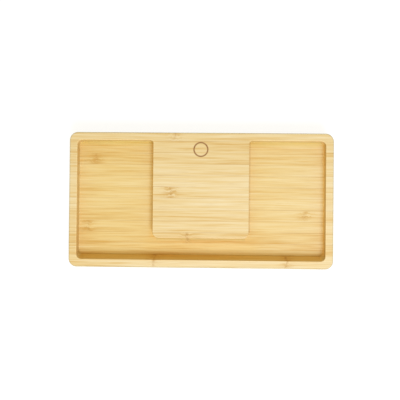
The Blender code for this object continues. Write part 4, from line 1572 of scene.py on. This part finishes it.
def leg_shape(foot, drop):
    """A bent leg: out of the body at one height, down, and along the pad. It points along +Y."""
    low, high = circuit_top, circuit_top + drop
    ankle = leg_shoulder + drop * leg_slant_share
    side = [(0, high), (leg_shoulder, high), (ankle, low + leg_thick), (foot, low + leg_thick),
            (foot, low), (ankle - leg_thick, low), (leg_shoulder - leg_thick, high - leg_thick),
            (0, high - leg_thick)]
    return skin("leg", [[(x, y, z) for y, z in side] for x in (-leg_width / 2, leg_width / 2)])


for i in (1, 2):
    name = f"bridge_chip_{i}"
    half, spot, high = part_size(name)
    moulded_body(f"bridge_body_{i}", (half[0], half[1] * body_share), high, spot, name)
    start = (-(leg_count - 1) / 2 * leg_pitch, half[1] * body_share - chip_lean)
    shape = leg_shape(half[1] - start[1], (part_level + high) / 2 - circuit_top)
    in_rows(f"bridge_legs_{i}", shape, tin, "crystal_steel", start, (leg_pitch, 0), leg_count, 2, spot)
print("bridge chip legs:", 2 * leg_count)

# %% [markdown]
# ## Capacitors, coil, resistor, crystal and lamp
#
# The ceramic capacitors tune the coil. They and the sense resistor are small bars with tinned ends.
# The two aluminium cans smooth the supply: each has a grooved neck, a plastic foot, a scored vent and
# a dark mark on its minus side. The power inductor is a moulded block with a round core. The crystal
# has a lid on a ceramic tray, and the lamp is a clear dome on a white foot.

# %% Bars with tinned ends
ceramic_tan = grained("ceramic_tan", (0.34, 0.20, 0.09), (0.47, 0.30, 0.15), 0.0003, 0.42, 0.000005)
cap_wall = 0.00006
end_share = 0.22


def tinned_pair(name, shape, start, middle):
    """Two tinned ends or pads, on either side of a middle."""
    in_rows(name, shape, tin, "crystal_steel", start, sides=2, middle=middle)


def tinned_ends(name, node):
    """The two tinned ends of a bar along Y."""
    half, middle, high = part_size(node)
    reach = half[1] * end_share
    shape = eased_block("end", (half[0], reach), chip_edge, (circuit_top, high), (0, chip_edge / 2))
    tinned_pair(name, shape, (0, half[1] - reach), middle)


def bar_block(name, node, middle):
    """The bar itself, a wall's thickness inside its tinned ends."""
    levels = (part_level, levels_of(node)[1] - cap_wall)
    return eased_block(name, shrunk(half_of(node), cap_wall), chip_edge, levels,
                       (chip_edge / 2, chip_edge / 2), middle)


bar_names = [f"resonant_capacitor_{i}" for i in range(1, 5)]
first, second = middle_of(bar_names[0]), middle_of(bar_names[1])
in_rows("capacitor_bars", bar_block("bar", bar_names[0], (0, 0)), ceramic_tan, "capacitor_ceramic",
        first, (second[0] - first[0], 0), len(bar_names), nodes=bar_names)
for i, name in enumerate(bar_names, 1):
    tinned_ends(f"capacitor_ends_{i}", name)
bar = new_object(bar_block("resistor_bar", "sense_resistor", middle_of("sense_resistor")))
seat(bar, chip_black, "chip", "sense_resistor")
tinned_ends("resistor_ends_1", "sense_resistor")
print("tinned bars:", len(bar_names) + 1)

# %% Aluminium cans
can_aluminium = grained("can_aluminium", (0.62, 0.63, 0.65), (0.80, 0.81, 0.83), 0.0012, 0.26, 0.000005,
                        (1, 1, 6), Metallic=1.0)
mark_black = grained("mark_black", (0.020, 0.020, 0.021), (0.032, 0.032, 0.033), 0.0003, 0.4, 0.000005)
can_names = ["input_capacitor_1", "input_capacitor_2"]
can_half, can_spot, can_top = part_size(can_names[0])
can_radius = can_half[0]
can_step = (middle_of(can_names[1])[0] - can_spot[0], 0)
can_edge = 0.0005
neck_depth = 0.0003
neck_height = 0.0008
neck_steps = 12
mark_height = 0.00004
can_foot_height = 0.0007
can_cut_share = 0.6
score_half_width = 0.00008
score_round = 0.00003
lid_score_depth = 0.00012
lid = can_top - mark_height
foot_top = part_level + can_foot_height
neck = []
for step in range(neck_steps + 1):
    share = step / neck_steps
    neck.append((can_radius - neck_depth * math.sin(math.pi * share) ** 2,
                 part_level + 2 * can_foot_height + neck_height * share))
shoulder = [(can_radius - can_edge * (1 - cosine), lid - can_edge * (1 - sine))
            for sine, cosine in [(0, 1)] + quarter(5)]
can = new_object(turned("can", [(can_radius - neck_depth, part_level + can_foot_height / 2),
                                (can_radius - neck_depth / 3, foot_top), *neck, *shoulder], 64))
score_half = (can_radius * can_cut_share, score_half_width)
for half in (score_half, score_half[::-1]):
    shape_with(can, eased_block("score", half, score_round, (lid - lid_score_depth, lid + overrun)))
apply_modifiers(can)
in_rows("can_shells", can, can_aluminium, "can_aluminium", can_spot, can_step, 2, nodes=can_names)

cut = can_radius * can_cut_share
foot_plan = rounded_outline([(x, y, chip_edge) for x, y in (
    (-can_radius, -can_radius), (cut, -can_radius), (can_radius, -cut), (can_radius, cut),
    (cut, can_radius), (-can_radius, can_radius))], 3)
mark_plan = arc((0, 0), can_radius - can_edge, 128, 232, 24)
for name, plan, levels in (("can_feet", foot_plan, (part_level, foot_top)),
                           ("can_marks", mark_plan, (lid, can_top))):
    in_rows(name, column("plan", plan, levels), mark_black, "socket_plastic", can_spot, can_step, 2)
can_pad_half = (0.0004, 0.0011)
can_pad_top = part_level + can_foot_height / 4
for i, name in enumerate(can_names, 1):
    shape = eased_block("can_pad", can_pad_half, can_pad_half[0] / 4, (circuit_top, can_pad_top),
                        (0, can_pad_half[0] / 8))
    tinned_pair(f"can_pads_{i}", shape, (0, can_radius - can_pad_half[1]), middle_of(name))
print("can height in mm:", round((lid - part_level) * 1000, 2))

# %% Power inductor
inductor_grey = grained("inductor_grey", (0.095, 0.095, 0.100), (0.165, 0.165, 0.172), 0.0004, 0.62,
                        0.00004)
block_corner = 0.0011
block_edge = 0.0003
core_share = 0.74
core_groove = 0.00035
terminal_half_width = 0.0003
terminal_share = 0.35
terminal_height = 0.0012
half, spot, high = part_size("power_inductor")
core_radius = half[0] * core_share
block = new_object(eased_block("inductor_block", shrunk(half, cap_wall), block_corner, (part_level, high),
                               (block_edge, block_edge), spot))
groove_radius = core_radius + core_groove
groove = [(groove_radius, high - core_groove), (groove_radius, high + overrun)]
core = [(core_radius, high - overrun), (core_radius, high + 2 * overrun)]
groove = new_object(turned("groove", groove, 64, spot))
shape_with(groove, turned("core", core, 64, spot))
apply_modifiers(groove)
shape_with(block, groove.data)
bpy.data.objects.remove(groove, do_unlink=True)
seat(block, inductor_grey, "inductor", "power_inductor")
shape = eased_block("terminal", (terminal_half_width, half[1] * terminal_share), terminal_half_width / 3,
                    (circuit_top, part_level + terminal_height), (0, terminal_half_width / 3))
tinned_pair("inductor_terminals", shape, (half[0] - terminal_half_width, 0), spot)
print("core radius in mm:", round(core_radius * 1000, 2))

# %% Crystal
lid_steel = grained("lid_steel", (0.58, 0.58, 0.56), (0.76, 0.76, 0.74), 0.0008, 0.24, 0.000004, (6, 1, 1),
                    Metallic=1.0)
tray_share = 0.55
tray_edge = 0.00005
tray_round = 0.00025
lid_inset = 0.00016
lid_round = 0.0004
lid_edge = 0.00012
lid_sink = 0.0001
small_pad_top = part_level + 0.0001
small_pad_round = 0.0001
crystal_pad_half = (0.0004, 0.0005)
half, spot, high = part_size("clock_crystal")
shelf = part_level + (high - part_level) * tray_share
crystal = new_object(eased_block("crystal_can", half, tray_round, (part_level, shelf),
                                 (tray_edge, tray_edge), spot))
shape_with(crystal, eased_block("crystal_lid", shrunk(half, lid_inset), lid_round,
                                (shelf - lid_sink, high), (tray_edge, lid_edge), spot), "UNION")
seat(crystal, lid_steel, "crystal_steel", "clock_crystal")
shape = eased_block("crystal_pad", crystal_pad_half, small_pad_round, (circuit_top, small_pad_top))
reach = (half[0] - crystal_pad_half[0], half[1] - crystal_pad_half[1])
in_rows("crystal_pads", shape, tin, "crystal_steel", (-reach[0], reach[1]), (2 * reach[0], 0), 2, 2, spot)
print("crystal height in mm:", round((high - part_level) * 1000, 2))

# %% Lamp
lamp_white = grained("lamp_white", (0.70, 0.70, 0.64), (0.84, 0.84, 0.78), 0.0004, 0.28, 0.000004)
dome_share = 0.72
dome_tip_share = 0.08
lamp_pad_share = 0.8
lamp_round = 0.0002
lamp_pad_half_depth = 0.0003
half, spot, high = part_size("indicator_led")
dome_radius = half[0] * dome_share
shelf = (part_level + high) / 2
light = new_object(eased_block("lamp_dome", half, lamp_round, (part_level, shelf),
                               (tray_edge, tray_edge), spot))
dome = [(dome_radius * cosine, shelf + (high - shelf) * sine) for sine, cosine in quarter(8)[:-1]]
shape_with(light, turned("dome", [(dome_radius, shelf - lid_sink), (dome_radius, shelf), *dome,
                                  (dome_radius * dome_tip_share, high)], 32, spot), "UNION")
seat(light, lamp_white, "lamp", "indicator_led")
shape = eased_block("lamp_pad", (half[0] * lamp_pad_share, lamp_pad_half_depth), small_pad_round,
                    (circuit_top, small_pad_top))
tinned_pair("lamp_pads", shape, (0, half[1] - lamp_pad_half_depth), spot)
print("lamp height in mm:", round((high - part_level) * 1000, 2))

# %% [markdown]
# ## Cable socket
#
# The socket is a drawn steel shell about a plastic tongue. Springs stamped into the shell grip the
# plug, and a seam runs along its underside. Rows of contacts lie on both faces of the tongue.

# %% Socket shell
shell_steel = grained("shell_steel", (0.54, 0.54, 0.55), (0.72, 0.72, 0.73), 0.0006, 0.28, 0.000004,
                      (1, 6, 1), Metallic=1.0)
shell_wall = 0.0003
shell_lip = 0.00012
shell_low, shell_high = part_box("usb_socket_shell")
shell_half_width = shell_high.x
shell_radius = (shell_high.z - shell_low.z) / 2
shell_level = shell_low.z + shell_radius
window_half = (0.0005, 0.0013)
window_place = (0.0018, shell_low.y + 0.0042)
window_round = 0.0002
seam_half_width = 0.00005
seam_round = 0.00002
seam_middle = (0, shell_low.y + 0.003)


def shell_rings(pairs):
    """Rings of the shell from (inset, y) pairs, which face along Y."""
    rings = []
    for inset, y in pairs:
        outline = stadium(shell_half_width - inset, shell_radius - inset, 16)
        rings.append([(x, y, shell_level + z) for x, z in outline])
    return rings


shell = new_object(skin("socket_shell", shell_rings([
    (shell_lip, shell_low.y), (0, shell_low.y + shell_lip), (0, shell_high.y - shell_lip),
    (shell_lip, shell_high.y)])))
shape_with(shell, skin("shell_bore", shell_rings([
    (shell_wall, shell_low.y - overrun), (shell_wall, shell_high.y - shell_lip),
    (shell_wall - shell_lip, shell_high.y + shell_lip)])))
levels = (shell_level, shell_high.z + overrun)
for side in (-1, 1):
    spot = (side * window_place[0], window_place[1])
    shape_with(shell, eased_block("window", window_half, window_round, levels, middle=spot))
levels = (shell_low.z - overrun, shell_low.z + shell_wall / 2)
seam_half = (seam_half_width, shell_half_width)
shape_with(shell, eased_block("seam", seam_half, seam_round, levels, middle=seam_middle))
seat(shell, shell_steel, "socket_steel", "usb_socket_shell")
print("shell width in mm:", round(2000 * shell_half_width, 2))

# %% Socket tongue
socket_black = grained("socket_black", (0.012, 0.012, 0.013), (0.022, 0.022, 0.023), 0.0003, 0.42,
                       0.000005)
tongue_half_width = 0.0032
tongue_half_height = 0.00035
tongue_nose_shares = (0.97, 0.6)
tongue_low, tongue_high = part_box("usb_socket_tongue")
block_end = tongue_low.y + 0.0026
inset = shell_wall + joint_gap
tongue = new_object(skin("socket_tongue", shell_rings([
    (inset + shell_lip, tongue_low.y), (inset, tongue_low.y + shell_lip), (inset, block_end - shell_lip),
    (inset + shell_lip, block_end)])))
blade = rounded_rectangle((tongue_half_width, tongue_half_height), tongue_half_height * 0.6, 4)
nose = [(x * tongue_nose_shares[0], z * tongue_nose_shares[1]) for x, z in blade]
shape_with(tongue, skin("blade", [[(x, y, shell_level + z) for x, z in outline] for outline, y in (
    (blade, (tongue_low.y + block_end) / 2), (blade, tongue_high.y - tongue_half_height),
    (nose, tongue_high.y))]), "UNION")
seat(tongue, socket_black, "socket_plastic", "usb_socket_tongue")
print("tongue length in mm:", round((tongue_high.y - block_end) * 1000, 2))

# %% Contacts
contact_gold = grained("contact_gold", (0.70, 0.46, 0.14), (0.86, 0.62, 0.24), 0.0006, 0.25, 0.000004,
                       Metallic=1.0)
contact_count = 12
contact_pitch = 0.0005
contact_half_width = 0.00013
contact_proud = 0.00003
contact_front = block_end + 0.0002
contact_half_length = (tongue_high.y - 2 * tongue_half_height - contact_front) / 2
start = (-(contact_count - 1) / 2 * contact_pitch, contact_front + contact_half_length)
for label, side in (("upper", 1), ("lower", -1)):
    levels = sorted(shell_level + side * (tongue_half_height + proud)
                    for proud in (-contact_proud, contact_proud))
    shape = eased_block("contact", (contact_half_width, contact_half_length), contact_proud, levels,
                        (contact_proud / 2, contact_proud / 2), steps=2)
    in_rows(f"{label}_contacts", shape, contact_gold, "socket_steel", start, (contact_pitch, 0),
            contact_count)
print("contacts in the socket:", 2 * contact_count)

# %% [markdown]
# ## Solder at the wire's ends
#
# Each end of the coil's wire dips into the circuit board. Solder climbs the wire there in a small
# hollow cone, whose outline is a quarter arc turned about the wire.

# %% Solder
solder_radius = 0.0011
solder_height = 3 * joint_gap
solder = [(wire_radius + (solder_radius - wire_radius) * (1 - sine),
           circuit_top + solder_height * (1 - cosine)) for sine, cosine in quarter(6)]
shape = turned("joint", [(solder_radius, circuit_top), *solder], 32)
in_rows("wire_joints", shape, tin, "crystal_steel", (-tail_offset, landing + coil_middle[1]),
        (tail_offset + coil_outer_radius, 0), 2)
print("solder height in mm:", round(solder_height * 1000, 2))
